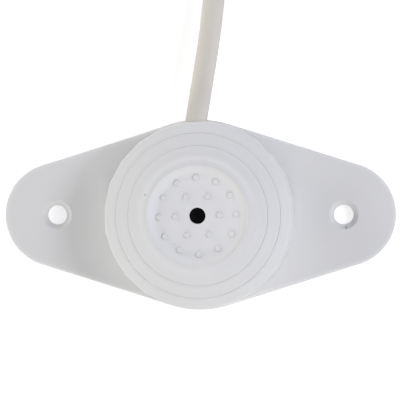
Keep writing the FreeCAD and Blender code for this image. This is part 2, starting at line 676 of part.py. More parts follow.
# Microphone capsule, its felt, boot, small board and pins
def make_capsule():
    felt = cylinder(
        "capsule_felt", "Sizes.felt_diameter / 2", "Sizes.felt_thickness", z=CAPSULE_FRONT
    )

    can = new_body("capsule_can")
    profile = new_sketch(can, "profile", "XZ_Plane")
    recess = f"{CAPSULE_RADIUS} - Sizes.capsule_rim"
    shelf = f"{CAPSULE_BACK} + Sizes.capsule_board_thickness"
    outline(
        profile,
        [
            ("0", shelf),
            (recess, shelf),
            (recess, CAPSULE_BACK),
            (CAPSULE_RADIUS, CAPSULE_BACK),
            (CAPSULE_RADIUS, CAPSULE_FRONT),
            ("0", CAPSULE_FRONT),
        ],
    )
    drum = turn("Revolution", profile)
    front = lambda edge: is_circle(edge, CAPSULE_RADIUS, CAPSULE_FRONT)
    bevel_edges(drum, "Sizes.capsule_bevel", front)

    boot = new_body("capsule_boot")
    sleeve = new_sketch(boot, "sleeve", "XZ_Plane")
    boot_foot = f"{CAPSULE_FRONT} - Sizes.boot_length"
    box_outline(sleeve, CAPSULE_RADIUS, BOOT_RADIUS, boot_foot, CAPSULE_FRONT)
    turned = turn("Revolution", sleeve)
    lip = lambda edge: is_circle(edge, BOOT_RADIUS, CAPSULE_FRONT)
    bevel_edges(turned, "Sizes.boot_bevel", lip)

    disc = cylinder(
        "capsule_board",
        f"{recess} - Sizes.fit_gap / 2",
        "Sizes.capsule_board_thickness",
        z=CAPSULE_BACK,
    )
    pins = []
    for number, side in enumerate(("-", ""), start=1):
        pins.append(
            cylinder(
                f"capsule_pin_{number}",
                "Sizes.pin_diameter / 2",
                f"{CAPSULE_BACK} - {BOARD_TOP}",
                x=f"{side}Sizes.pin_spacing / 2",
                z=BOARD_TOP,
            )
        )
    return [felt, can, boot, disc, group("capsule_pins", pins)]


# Circuit board with its screws and components
def make_circuit_board():
    board = new_body("circuit_board")
    blank = new_sketch(board, "blank", height=BOARD_UNDERSIDE)
    circle(blank, BOARD_RADIUS)
    pad(blank, "Sizes.board_thickness")
    side = new_sketch(board, "side", height=BOARD_TOP)
    box_outline(side, f"-{BOARD_RADIUS}", BOARD_RADIUS, BOARD_FLAT, f"{BOARD_RADIUS} + {PAST}")
    pocket(side, "Sizes.board_thickness")
    hole = new_sketch(board, "hole", height=BOARD_TOP)
    spread = "Sizes.board_screw_diameter / 2 + Sizes.fit_gap"
    circle(hole, spread, *post_middle(FIRST_POST_ANGLE))
    repeat_round(pocket(hole, "Sizes.board_thickness"), "Sizes.posts")

    screws = []
    count = int(size("Sizes.posts"))
    for number in range(count):
        x, y = post_middle(FIRST_POST_ANGLE + 360 / count * number)
        name = f"board_screw_{number + 1}"
        thread = "Sizes.board_screw_diameter"
        screws.append(make_screw(name, thread, BOARD_SCREW_LENGTH, x, y, BOARD_TOP))
    return [board, group("board_screws", screws)]


def make_screw(name, thread, length, x, y, seat):
    """A pan head screw that stands on its seat and points down."""
    shank = cylinder(f"{name}_shank", f"{thread} / 2", length, x, y, f"{seat} - {length}")
    spread = f"Sizes.screw_head_spread * {thread} / 2"
    head = cylinder(f"{name}_head", spread, f"Sizes.screw_head_height * {thread}", x, y, seat)
    screw = doc.addObject("Part::Fuse", name)
    screw.Base = shank
    screw.Tool = head
    return screw


def on_board(piece, radius, angle):
    """Stands a component on the board, with its own x axis pointing outwards."""
    turned = math.radians(angle)
    x = radius * math.cos(turned)
    y = radius * math.sin(turned)
    return place(piece, x, y, size(BOARD_TOP), angle)


def chip_body(name, kind):
    """A moulded chip whose legs stand on the board on both long sides."""
    body = new_body(name)
    half_length = f"Sizes.{kind}_length / 2"
    half_width = f"Sizes.{kind}_width / 2"
    block = new_sketch(body, "block", height="Sizes.chip_lift")
    box_outline(block, f"-{half_width}", half_width, f"-{half_length}", half_length)
    pad(block, f"Sizes.{kind}_height - Sizes.chip_lift")
    leg = new_sketch(body, "leg")
    first = f"-Sizes.{kind}_pitch * (Sizes.{kind}_legs - 1) / 2"
    reach = f"({half_width} + Sizes.leg_reach)"
    sides = [f"{first} {sign} Sizes.leg_width / 2" for sign in "-+"]
    box_outline(leg, f"-{reach}", reach, *sides)
    legs = pad(leg, f"Sizes.{kind}_height / 2")
    row = body.newObject("PartDesign::LinearPattern", f"{name}_legs")
    row.Originals = [legs]
    row.Direction = (origin_feature(body, "Y_Axis"), [""])
    row.setExpression("Length", f"Sizes.{kind}_pitch * (Sizes.{kind}_legs - 1)")
    row.setExpression("Occurrences", f"Sizes.{kind}_legs")
    body.Tip = row
    return body


def electrolytic(name):
    """A can on a square foot with two cut corners."""
    body = new_body(name)
    foot = new_sketch(body, "foot")
    half = "(Sizes.electrolytic_diameter / 2 + Sizes.foot_margin)"
    cut = f"({half} - Sizes.foot_cut)"
    corners = [
        (f"-{half}", f"-{half}"),
        (cut, f"-{half}"),
        (half, f"-{cut}"),
        (half, cut),
        (cut, half),
        (f"-{half}", half),
    ]
    outline(foot, corners)
    pad(foot, "Sizes.foot_height")
    can = new_sketch(body, "can", height=f"Sizes.foot_height - {SINK}")
    radius = "Sizes.electrolytic_diameter / 2"
    top = "Sizes.electrolytic_height"
    circle(can, radius)
    drum = pad(can, f"{top} - Sizes.foot_height + {SINK}")
    bevel_edges(drum, "Sizes.electrolytic_bevel", lambda edge: is_circle(edge, radius, top))
    return body


def surface_chip(name, kind):
    """A small block with a metal cap, one step thicker, at each end."""
    body = new_body(name)
    half_length = f"Sizes.{kind}_length / 2"
    half_width = f"(Sizes.{kind}_width / 2)"
    slim = f"({half_width} - Sizes.end_cap_step)"
    core = new_sketch(body, "core", height="Sizes.end_cap_step")
    box_outline(core, f"-{slim}", slim, f"-{half_length}", half_length)
    pad(core, f"Sizes.{kind}_height - 2 * Sizes.end_cap_step")
    end = new_sketch(body, "end")
    inner = f"-({half_length} - Sizes.end_cap_length)"
    box_outline(end, f"-{half_width}", half_width, f"-{half_length}", inner)
    cap = pad(end, f"Sizes.{kind}_height")
    other = body.newObject("PartDesign::Mirrored", f"{name}_ends")
    other.Originals = [cap]
    other.MirrorPlane = (origin_feature(body, "XZ_Plane"), [""])
    body.Tip = other
    return body


# Where the components stand: distance from the board's middle, and angle
LARGE_RING = size(BOARD_RADIUS) - size("Sizes.component_inset")
CHIPS = {"preamp": ("preamp_chip", LARGE_RING, 328)}
CHIPS["regulator"] = ("voltage_regulator", LARGE_RING, 297)
DIODE_SPOT = (LARGE_RING, 247)
ELECTROLYTIC_SPOTS = [(LARGE_RING, angle) for angle in (180, 215, 3)]
CERAMIC_SPOTS = [(7.4, 52), (5.4, 25), (5.4, 170), (5.4, 230)]
RESISTOR_SPOTS = [(2.9, angle) for angle in (90, 150, 210, 270, 330, 30)]


def make_components():
    pieces = [on_board(chip_body(name, kind), *spot) for kind, (name, *spot) in CHIPS.items()]
    pieces.append(on_board(surface_chip("protection_diode", "diode"), *DIODE_SPOT))
    for number, spot in enumerate(ELECTROLYTIC_SPOTS, start=1):
        pieces.append(on_board(electrolytic(f"electrolytic_capacitor_{number}"), *spot))
    for number, spot in enumerate(CERAMIC_SPOTS, start=1):
        pieces.append(on_board(surface_chip(f"ceramic_capacitor_{number}", "ceramic"), *spot))
    for number, spot in enumerate(RESISTOR_SPOTS, start=1):
        pieces.append(on_board(surface_chip(f"resistor_{number}", "resistor"), *spot))
    return pieces


# Clamp that holds the cable on its seat
def make_cable_clamp():
    body = new_body("cable_clamp")
    near = "Sizes.clamp_inset - Sizes.clamp_length / 2"
    half_width = "Sizes.clamp_width / 2"
    ears = across_cable(body, "ears", near)
    box_outline(ears, f"-{half_width}", half_width, SEAT_TOP, f"{SEAT_TOP} + Sizes.clamp_ear")
    pad(ears, "Sizes.clamp_length")
    arch = across_cable(body, "arch", near)
    arch_half = f"({CABLE_RADIUS} + Sizes.clamp_wall)"
    arch_top = f"(Sizes.cable_height + {arch_half})"
    box_outline(arch, f"-{arch_half}", arch_half, SEAT_TOP, arch_top)
    pad(arch, "Sizes.clamp_length")
    bore = across_cable(body, "bore", near)
    circle(bore, CABLE_RADIUS, y="Sizes.cable_height")
    pocket(bore, "Sizes.clamp_length", backwards=True)
    drill = in_cable_frame(body, "screw_hole", f"{SEAT_TOP} + Sizes.clamp_ear")
    for x in ("Sizes.clamp_screw_offset", "-Sizes.clamp_screw_offset"):
        circle(drill, "Sizes.clamp_screw_diameter / 2 + Sizes.fit_gap", x, "-Sizes.clamp_inset")
    pocket(drill, f"Sizes.clamp_ear + {SINK}")

    screws = []
    for number, side in enumerate(("", "-"), start=1):
        name = f"clamp_screw_{number}"
        thread, length = "Sizes.clamp_screw_diameter", "Sizes.clamp_screw_length"
        off = f"({side}Sizes.clamp_screw_offset)"
        x = f"{EXIT_X} - Sizes.clamp_inset * sin{LEAN} + {off} * cos{LEAN}"
        y = f"{EXIT_Y} - Sizes.clamp_inset * cos{LEAN} - {off} * sin{LEAN}"
        screws.append(make_screw(name, thread, length, x, y, f"({SEAT_TOP} + Sizes.clamp_ear)"))
    return [body, group("clamp_screws", screws)]


# Cable and cores: straight runs joined by tangent arcs
ARC_SHARE = 0.45


def tube(name, points, diameter):
    points = [Vector(*point) for point in points]
    start = points[0]
    edges = []
    radii = []
    for before, corner, after in zip(points, points[1:], points[2:]):
        back, ahead = before - corner, after - corner
        cut = ARC_SHARE * min(back.Length, ahead.Length)
        half_turn = (math.pi - back.getAngle(ahead)) / 2
        radius = cut / math.tan(half_turn)
        back.normalize()
        ahead.normalize()
        inward = (back + ahead).normalize()
        middle = corner + inward * (radius / math.cos(half_turn) - radius)
        edges.append(Part.LineSegment(start, corner + back * cut))
        edges.append(Part.Arc(corner + back * cut, middle, corner + ahead * cut))
        start = corner + ahead * cut
        radii.append(radius)
    edges.append(Part.LineSegment(start, points[-1]))
    path = Part.Wire([edge.toShape() for edge in edges])
    ring = Part.makeCircle(diameter / 2, points[0], points[1] - points[0])
    piece = doc.addObject("Part::Feature", name)
    piece.Label = name
    piece.Shape = path.makePipeShell([Part.Wire(ring)], True, False)
    expected = math.pi * diameter**2 / 4 * path.Length
    tightest = min(radii) if radii else 0
    print(
        f"{name}: {path.Length:.1f} mm long, tightest radius {tightest:.1f} mm,"
        f" volume {piece.Shape.Volume / expected:.4f} of its section times its length"
    )
    return piece


def offset_by(base, along, direction, aside, z):
    """A point that far along a level direction from base, that far to its right, at height z."""
    x, y = direction
    return (base[0] + along * x + aside * y, base[1] + along * y - aside * x, z)


def on_cable_line(distance):
    """A point of the cable's straight first stretch, that far outside the cap's wall."""
    x = size(f"{EXIT_X} + ({distance}) * sin{LEAN}")
    y = size(f"{EXIT_Y} + ({distance}) * cos{LEAN}")
    return (x, y, size("Sizes.cable_height"))


# Middle lines of the cable's two free stretches, and of the coil between them
CABLE_POINTS = [
    on_cable_line(f"-({CLAMP_NEAR} + Sizes.cable_end)"),
    on_cable_line("Sizes.cable_straight"),
    (2.55, 38.9, 2.9),
    (3.3, 50.0, 2.2),
    (3.3, 60.0, 2.2),
]
TAIL_POINTS = [
    (62.1, 60.0, 6.6),
    (62.1, 53.0, 6.6),
    (61.8, 45.3, 4.6),
    (61.0, 37.6, 2.2),
    (59.8, 30.0, 2.2),
]
COIL_MIDDLE = (32.7, 76.6)
COIL_STUB = 16.6  # straight stretch of cable before and after the coil's turns
TIE_ANGLE = 60.0

# Cores at the far end: sideways place and height in the cable's end, then how far along,
# how far sideways and how high each point of the fan lies
CORES = {"power": (-1.15, 1.65), "audio": (0.0, 3.1), "ground": (1.15, 1.65)}
CORE_START = 3.0
FAN_POINTS = {
    "power": [(8.0, -1.9, 0.95), (15.0, -3.6, 0.55), (22.0, -5.6, 0.55), (28.8, -7.7, 0.55)],
    "audio": [(8.5, 0.3, 1.8), (15.5, 0.0, 0.55), (22.5, -0.8, 0.55), (29.3, -0.7, 0.55)],
    "ground": [(8.0, 1.9, 0.95), (15.0, 4.3, 0.55), (22.0, 7.4, 0.55), (28.2, 10.5, 0.55)],
}

# Cores at the near end: sideways place at the cable's end and at the pad on the board
WIRES = {"power": (-1.2, -1.5), "audio": (0.0, 0.1), "ground": (1.2, 1.6)}
WIRE_STRAIGHT = 1.3
WIRE_REACH = 2.6


def make_cable():
    diameter = size("Sizes.cable_diameter")
    return [tube("cable", CABLE_POINTS, diameter), tube("cable_tail", TAIL_POINTS, diameter)]


def make_inner_wires():
    """Cores from the cable's inner end to their pads on the board."""
    diameter = size("Sizes.core_diameter")
    end, ahead = Vector(*CABLE_POINTS[0]), Vector(*CABLE_POINTS[1])
    inward = (end - ahead).normalize()
    heading = (inward.x, inward.y)
    height = size(BOARD_TOP) + diameter / 2
    pieces = []
    for name, (aside, pad_aside) in WIRES.items():
        points = [
            offset_by(end, 0, heading, aside, height),
            offset_by(end, WIRE_STRAIGHT, heading, aside, height),
            offset_by(end, WIRE_REACH, heading, pad_aside, height),
        ]
        pieces.append(tube(f"{name}_wire", points, diameter))
    return pieces


def make_leads():
    """Three insulated cores that fan out of the cable's far end, each with a bare tip."""
    diameter = size("Sizes.core_diameter")
    before, end = Vector(*TAIL_POINTS[-2]), Vector(*TAIL_POINTS[-1])
    ahead = (end - before).normalize()
    heading = (ahead.x, ahead.y)
    pieces = []
    for name, (aside, z) in CORES.items():
        route = [offset_by(end, along, heading, aside, z) for along in (0, CORE_START)]
        route += [offset_by(end, along, heading, off, up) for along, off, up in FAN_POINTS[name]]
        pieces.append(tube(f"{name}_lead", route, diameter))
        last = Vector(*route[-1])
        onward = (last - Vector(*route[-2])).normalize()
        tip = doc.addObject("Part::Cylinder", f"{name}_lead_tip")
        tip.Label = f"{name}_lead_tip"
        tip.setExpression("Radius", "Sizes.tip_diameter / 2")
        tip.setExpression("Height", "Sizes.tip_length")
        tip.Placement = Placement(last, Rotation(Vector(0, 0, 1), onward))
        pieces.append(tip)
    return pieces


# Put-away coil: the outer shape of its turns, with a stub where the cable comes and goes
COIL_HALF = "(Sizes.coil_columns * Sizes.cable_diameter / 2)"
COIL_INNER = f"(Sizes.coil_middle_radius - {COIL_HALF})"
COIL_OUTER = f"(Sizes.coil_middle_radius + {COIL_HALF})"
COIL_HEIGHT = "(Sizes.coil_layers * Sizes.cable_diameter)"


def make_coil():
    body = new_body("cable_coil")
    section = new_sketch(body, "section", "XZ_Plane")
    box_outline(section, COIL_INNER, COIL_OUTER, "0", COIL_HEIGHT)
    ring = turn("Revolution", section)
    touches_turn = f"{CABLE_RADIUS} * (2 - sqrt(2))"
    bevel_edges(ring, touches_turn, lambda edge: isinstance(edge.Curve, Part.Circle))
    column = f"({COIL_OUTER} - {CABLE_RADIUS})"
    stub_radius = f"{CABLE_RADIUS} - Sizes.fit_gap / 2"
    stubs = new_sketch(body, "stubs", "XZ_Plane", height=CABLE_RADIUS)
    circle(stubs, stub_radius, f"-{column}", CABLE_RADIUS)
    circle(stubs, stub_radius, column, f"{COIL_HEIGHT} - {CABLE_RADIUS}")
    pad(stubs, f"{COIL_STUB} - {CABLE_RADIUS}")
    slot = new_sketch(body, "tie_slot", angle=f"{TIE_ANGLE}")
    wide = "(Sizes.tie_width / 2 + Sizes.fit_gap)"
    box_outline(slot, f"{COIL_INNER} - {PAST}", f"{COIL_OUTER} + {PAST}", f"-{wide}", wide)
    pocket(slot, "Sizes.tie_thickness", backwards=True)
    return place(body, *COIL_MIDDLE)


def make_tie():
    """A flat ribbon round the coil's turns, with its ends twisted together on top."""
    body = new_body("coil_tie")
    thick = "Sizes.tie_thickness"
    left = f"{COIL_INNER} - Sizes.fit_gap"
    right = f"{COIL_OUTER} + Sizes.fit_gap"
    top = f"({COIL_HEIGHT} + 2 * {thick})"
    band = new_sketch(body, "band", "XZ_Plane")
    box_outline(band, f"{left} - {thick}", f"{right} + {thick}", "0", top)
    block = pad(band, "Sizes.tie_width")
    block.Midplane = True
    round_edges(block, "Sizes.tie_round", runs_across_tie)
    bore = new_sketch(body, "bore", "XZ_Plane")
    box_outline(bore, left, right, thick, f"{top} - {thick}")
    cut = pocket(bore, "2 * Sizes.tie_width")
    cut.Midplane = True
    twist = new_sketch(body, "twist", "XZ_Plane")
    over = f"{top} + Sizes.twist_radius - {SINK}"
    circle(twist, "Sizes.twist_radius", "Sizes.coil_middle_radius", over)
    pad(twist, "Sizes.twist_length", backwards=True)
    return place(body, *COIL_MIDDLE, angle=TIE_ANGLE)


def runs_across_tie(edge):
    return abs(edge.Length - size("Sizes.tie_width")) < NEAR


def check_and_write(pieces):
    doc.recompute()
    faults = [item.Name for item in doc.Objects if {"Invalid", "Error"} & set(item.State)]
    faults += [piece.Name for piece in pieces if piece.Shape.isNull() or not piece.Shape.isValid()]
    if faults:
        raise RuntimeError("failed: " + ", ".join(faults))
    os.makedirs("parts", exist_ok=True)
    for piece in pieces:
        piece.Shape.exportStep(f"parts/{piece.Label}.step")
        solids = len(piece.Shape.Solids)
        print(f"{piece.Label}: {solids} solid(s), {piece.Shape.Volume:.1f} cubic mm")


check_and_write(
    [make_base_plate(), make_front_cap()]
    + make_capsule()
    + make_circuit_board()
    + make_components()
    + make_cable_clamp()
    + make_cable()
    + make_inner_wires()
    + make_leads()
    + [make_coil(), make_tie()]
)
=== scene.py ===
# %% [markdown]
# # A surveillance microphone
# A small moulded microphone that is screwed flat to a wall or a ceiling: a lozenge-shaped plate,
# a round cap that snaps over it and has a sound hole, and one thin cable. Its solids come from
# the part's source. This lesson dresses them: it lays the cable's true curve, gives each piece
# its finish, and adds the floor, the light and the camera.
#
# The solids could be modelled again here, but then two models would have to agree. So the packed
# frame is loaded first, and everything that follows takes its place from it.

# %% Start
import math

import bpy
from mathutils import Matrix, Vector


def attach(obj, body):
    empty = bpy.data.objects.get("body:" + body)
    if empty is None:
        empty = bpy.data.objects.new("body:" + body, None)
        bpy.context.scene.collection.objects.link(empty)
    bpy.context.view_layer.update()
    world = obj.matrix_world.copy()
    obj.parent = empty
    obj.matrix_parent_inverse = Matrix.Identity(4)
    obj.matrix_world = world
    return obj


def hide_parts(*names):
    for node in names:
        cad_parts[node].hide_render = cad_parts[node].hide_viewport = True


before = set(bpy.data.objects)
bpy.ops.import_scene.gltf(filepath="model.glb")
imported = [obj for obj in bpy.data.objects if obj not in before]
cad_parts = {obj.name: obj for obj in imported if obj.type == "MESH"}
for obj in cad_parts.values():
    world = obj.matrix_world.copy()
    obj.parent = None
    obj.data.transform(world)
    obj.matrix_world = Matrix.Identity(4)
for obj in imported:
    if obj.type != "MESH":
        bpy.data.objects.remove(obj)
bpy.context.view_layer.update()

MM = 0.001

# %% [markdown]
# ## Camera
# The photograph looks almost straight down at the front, from about 55 cm, and a little from the
# right: the cap's right wall is just visible. A camera can be aimed with a Track To constraint,
# but one that looks straight down has no natural upward direction, and may roll. So the turn is
# worked out here from three directions. +Y is the top of the picture, but for a seventh of a
# degree, because the photograph isn't quite level. A long lens keeps the two ends of the plate as
# even as in the photograph.

# %% Camera
CAMERA_TARGET = Vector((0.0, 3.02, 2.0)) * MM
CAMERA_DISTANCE = 550.0 * MM
CAMERA_LENS = 242.3
FROM_RIGHT = math.radians(3.0)
FROM_ABOVE = math.radians(0.9)
CAMERA_ROLL = math.radians(0.14)


def aimed(backwards, roll=0.0):
    """Turn of a thing that looks along minus backwards, with +Y near the top of its view."""
    up = Vector((math.sin(roll), math.cos(roll), 0))
    across = up.cross(backwards).normalized()
    return Matrix((across, backwards.cross(across), backwards)).transposed().to_euler()


to_camera = Vector((math.sin(FROM_RIGHT), math.sin(FROM_ABOVE), math.cos(FROM_RIGHT))).normalized()
camera = bpy.data.objects.new("camera", bpy.data.cameras.new("camera"))
camera.data.lens = CAMERA_LENS
camera.data.clip_start = 0.01
camera.location = CAMERA_TARGET + to_camera * CAMERA_DISTANCE
camera.rotation_euler = aimed(to_camera, CAMERA_ROLL)
bpy.context.scene.collection.objects.link(camera)
bpy.context.scene.camera = camera
print("camera at", [round(value, 4) for value in camera.location])

# %% [markdown]
# ## The cable's route
# The cable is one metre of flexible round cord. It starts at its clamp inside the cap, leaves
# straight through a notch in the cap's wall, comes down off the plate and lies on the surface.
# Only its first centimetres are in the picture. A cable could be a chain of straight and round
# stretches, but those make it look like bent wire. A few points that it passes near, and a
# smooth line drawn by them, look like the real thing.

# %% Points on the way
CABLE_DIAMETER = 4.4
CABLE_HEIGHT = 4.6
EXIT = (-0.6036, 19.1871)
LEAN = math.radians(9.5)


def on_first_stretch(distance):
    """A point of the straight first stretch, that far outside the cap's wall."""
    return EXIT[0] + distance * math.sin(LEAN), EXIT[1] + distance * math.cos(LEAN), CABLE_HEIGHT


CABLE_START = [
    on_first_stretch(-10.6),
    on_first_stretch(4.6),
    (2.55, 38.9, 2.9),
    (3.3, 50.0, 2.2),
    (3.3, 60.0, 2.2),
]
CABLE_END = [
    (62.1, 60.0, 6.6),
    (62.1, 53.0, 6.6),
    (61.8, 45.3, 4.6),
    (61.0, 37.6, 2.2),
    (59.8, 30.0, 2.2),
]
print("cable starts at", [round(value, 2) for value in CABLE_START[0]])

# %% [markdown]
# ## The coil
# The rest of the cable is put away as such a cable is packed: five and a half turns, three side
# by side and two high, with a twisted tie. A helix would be one line of code, but a helix doesn't
# lie three turns side by side. So a short table says how far round, how wide and how high each
# turn lies, and the points are worked out from it. Between two entries the turn moves over
# gently, so that no turn cuts through another. At the tie all turns lie a little higher, because
# its ribbon passes below them.

# %% Turns of the coil
COIL_MIDDLE = (32.7, 76.6)
POINTS_PER_TURN = 24
TIE_AT = 120.0
TIE_LIFT = 0.5
# The turns rise and fall again within this many degrees of the tie
TIE_REACH = 30.0
# Degrees wound so far, radius and height of the turn there
WINDING = [
    (0, 29.4, 2.2),
    (300, 29.4, 2.2),
    (360, 25.0, 2.2),
    (660, 25.0, 2.2),
    (720, 20.6, 2.2),
    (960, 20.6, 2.2),
    (1020, 20.6, 6.6),
    (1260, 20.6, 6.6),
    (1320, 25.0, 6.6),
    (1620, 25.0, 6.6),
    (1680, 29.4, 6.6),
    (1980, 29.4, 6.6),
]


def on_winding(wound):
    """Radius and height of the coil's turn at that many degrees."""
    for (start, radius, height), (end, next_radius, next_height) in zip(WINDING, WINDING[1:]):
        if wound <= end:
            share = (wound - start) / (end - start)
            share = share * share * (3 - 2 * share)
            return radius + share * (next_radius - radius), height + share * (next_height - height)
    return WINDING[-1][1:]


def coil_points():
    """Points round the coil, a little outside it, because the curve passes inside its points."""
    step = 360.0 / POINTS_PER_TURN
    # The curve takes three quarters of a point and an eighth of each neighbour
    outward = 1.0 / (0.75 + 0.25 * math.cos(math.radians(step)))
    points = []
    for number in range(int(WINDING[-1][0] / step) + 1):
        wound = number * step
        radius, height = on_winding(wound)
        from_tie = abs((wound - TIE_AT + 180) % 360 - 180)
        height += TIE_LIFT * max(0.0, 1 - (from_tie / TIE_REACH) ** 2)
        angle = math.radians(180 - wound)
        x = COIL_MIDDLE[0] + outward * radius * math.cos(angle)
        y = COIL_MIDDLE[1] + outward * radius * math.sin(angle)
        points.append((x, y, height))
    return points


cable_points = CABLE_START + coil_points() + CABLE_END
print(len(cable_points), "points on the cable's route")

# %% [markdown]
# ## The cable as a curve
# On the real object the cable is extruded, so it has one section from end to end. It could be a
# mesh tube, but a curve with a round bevel stays exact and keeps a length that can be measured.
# A NURBS curve of order 3 is used: it rounds off every corner of its points by itself.

# %% Curves
STEPS_ALONG_LINE = 8
STEPS_ROUND_LINE = 5


def make_line(name, points, diameter):
    """A smooth round line by its points, which are given in millimetres."""
    curve = bpy.data.curves.new(name, "CURVE")
    curve.dimensions = "3D"
    spline = curve.splines.new("NURBS")
    spline.points.add(len(points) - 1)
    for spot, point in zip(spline.points, points):
        spot.co = (*(Vector(point) * MM), 1.0)
    spline.order_u = 3
    spline.use_endpoint_u = True
    spline.resolution_u = STEPS_ALONG_LINE
    curve.bevel_depth = diameter / 2 * MM
    curve.bevel_resolution = STEPS_ROUND_LINE
    curve.use_fill_caps = True
    line = bpy.data.objects.new(name, curve)
    bpy.context.scene.collection.objects.link(line)
    return line


cable_line = make_line("cable_line", cable_points, CABLE_DIAMETER)
print("cable drawn")

# %% [markdown]
# ## The three leads
# At its far end the cable is stripped: a red core for the supply, a white one for the sound and
# a black one for ground. They are limp, so they lie down within a few millimetres and fan out.
# They could be one forked mesh, but each is a wire of its own, so each is a curve of its own.

# %% Leads
CORE_DIAMETER = 1.1
CORE_START = 3.0
# Sideways place and height of each core in the cable's end
CORES = {"power": (-1.15, 1.65), "audio": (0.0, 3.1), "ground": (1.15, 1.65)}
# How far along, how far sideways and how high each point of the fan lies
FAN_POINTS = {
    "power": [(8.0, -1.9, 0.95), (15.0, -3.6, 0.55), (22.0, -5.6, 0.55), (28.8, -7.7, 0.55)],
    "audio": [(8.5, 0.3, 1.8), (15.5, 0.0, 0.55), (22.5, -0.8, 0.55), (29.3, -0.7, 0.55)],
    "ground": [(8.0, 1.9, 0.95), (15.0, 4.3, 0.55), (22.0, 7.4, 0.55), (28.2, 10.5, 0.55)],
}


def lead_points(name):
    """Points of one lead, fanned out from the cable's end."""
    before, end = (Vector(point) for point in CABLE_END[-2:])
    ahead = (end - before).normalized()
    aside, height = CORES[name]
    fan = [(0.0, aside, height), (CORE_START, aside, height)] + FAN_POINTS[name]
    points = []
    for along, off, up in fan:
        x = end.x + along * ahead.x + off * ahead.y
        y = end.y + along * ahead.y - off * ahead.x
        points.append((x, y, up))
    return points


leads = {name: make_line(f"{name}_lead_line", lead_points(name), CORE_DIAMETER) for name in CORES}
print(len(leads), "leads drawn")

# %% [markdown]
# ## Node tools
# A finish is more than a colour: its colour, roughness and bump vary a little over the surface.
# Nodes can be wired by hand in the editor, but a script that builds them can be read and run
# again. These few helpers keep the wiring short. They serve materials and Geometry Nodes alike.

# %% Node helpers
def add(tree, kind, settings=None, **wires):
    """A node with its settings. Its inputs go by name, or by number as i0, i1 and so on, and
    each is given as a value or as a socket to join."""
    node = tree.nodes.new(kind)
    for name, value in (settings or {}).items():
        setattr(node, name, value)
    for name, value in wires.items():
        index = int(name[1:]) if name[1:].isdigit() else name.replace("_", " ")
        if isinstance(value, bpy.types.NodeSocket):
            tree.links.new(value, node.inputs[index])
        else:
            node.inputs[index].default_value = value
    return node


def math_node(tree, operation, first, second=0.0):
    return add(tree, "ShaderNodeMath", {"operation": operation}, i0=first, i1=second).outputs[0]


def vector_node(tree, operation, first, second=(0, 0, 0)):
    settings = {"operation": operation}
    return add(tree, "ShaderNodeVectorMath", settings, i0=first, i1=second).outputs


def combined(tree, **parts):
    return add(tree, "ShaderNodeCombineXYZ", None, **parts).outputs[0]


def stretched(tree, value, low, high, new_low, new_high):
    """value, read from low to high, spread over new_low to new_high."""
    node = add(tree, "ShaderNodeMapRange", None, i0=value, i1=low, i2=high, i3=new_low, i4=new_high)
    return node.outputs[0]


def noise(tree, vector, scale, detail=2.0, roughness=0.5):
    values = {"Vector": vector, "Scale": scale, "Detail": detail, "Roughness": roughness}
    return add(tree, "ShaderNodeTexNoise", None, **values).outputs[0]


def new_group(kind, name, inputs, outputs):
    """A node group with its two end nodes. Inputs and outputs are (kind, name, default)."""
    group = bpy.data.node_groups.new(name, kind)
    for way, sockets in (("INPUT", inputs), ("OUTPUT", outputs)):
        for socket_kind, title, default in sockets:
            socket_type = f"NodeSocket{socket_kind}"
            socket = group.interface.new_socket(title, in_out=way, socket_type=socket_type)
            if default is not None:
                socket.default_value = default
    start = group.nodes.new("NodeGroupInput")
    end = group.nodes.new("NodeGroupOutput")
    return group, start.outputs, end.inputs


print("node helpers ready")

# %% [markdown]
# ## Shared effect: moulded grain
# Moulded plastic is never quite even. The mould's eroded face leaves a fine grain, and the flow
# of the plastic leaves soft, wide differences. Each material could have its own noise nodes, but
# they would all be alike. One group gives the effect to all of them, as a brightness to multiply
# the colour with, a roughness, and a height for the bump.

# %% Group: moulded grain
def make_moulded_grain():
    group, given, result = new_group(
        "ShaderNodeTree",
        "moulded_grain",
        [
            ("Vector", "Position", None),
            ("Float", "Grain scale", 9000.0),
            ("Float", "Grain strength", 0.02),
            ("Float", "Cloud scale", 120.0),
            ("Float", "Cloud strength", 0.02),
            ("Float", "Roughness", 0.5),
        ],
        [("Float", "Brightness", None), ("Float", "Roughness", None), ("Float", "Height", None)],
    )
    fine = noise(group, given["Position"], given["Grain scale"], 3.0, 0.6)
    wide = noise(group, given["Position"], given["Cloud scale"])
    off_middle = math_node(group, "SUBTRACT", wide, 0.5)
    cloud = math_node(group, "MULTIPLY", off_middle, given["Cloud strength"])
    off_middle = math_node(group, "SUBTRACT", fine, 0.5)
    speckle = math_node(group, "MULTIPLY", off_middle, given["Grain strength"])
    bright = math_node(group, "ADD", math_node(group, "ADD", cloud, speckle), 1.0)
    # The roughness swings three times as far as the brightness
    rough = math_node(group, "ADD", given["Roughness"], math_node(group, "MULTIPLY", speckle, 3.0))
    group.links.new(bright, result["Brightness"])
    group.links.new(rough, result["Roughness"])
    group.links.new(fine, result["Height"])
    return group


MOULDED_GRAIN = make_moulded_grain()
print("group", MOULDED_GRAIN.name)

# %% [markdown]
# ## Shared effect: a speck
# The photograph shows three tiny dark marks in the plastic: dust in the mould, and a burr at a
# screw hole. They could be small meshes, but they have no height. A mark is a soft round spot at
# a point, so it needs only the level distance to that point.

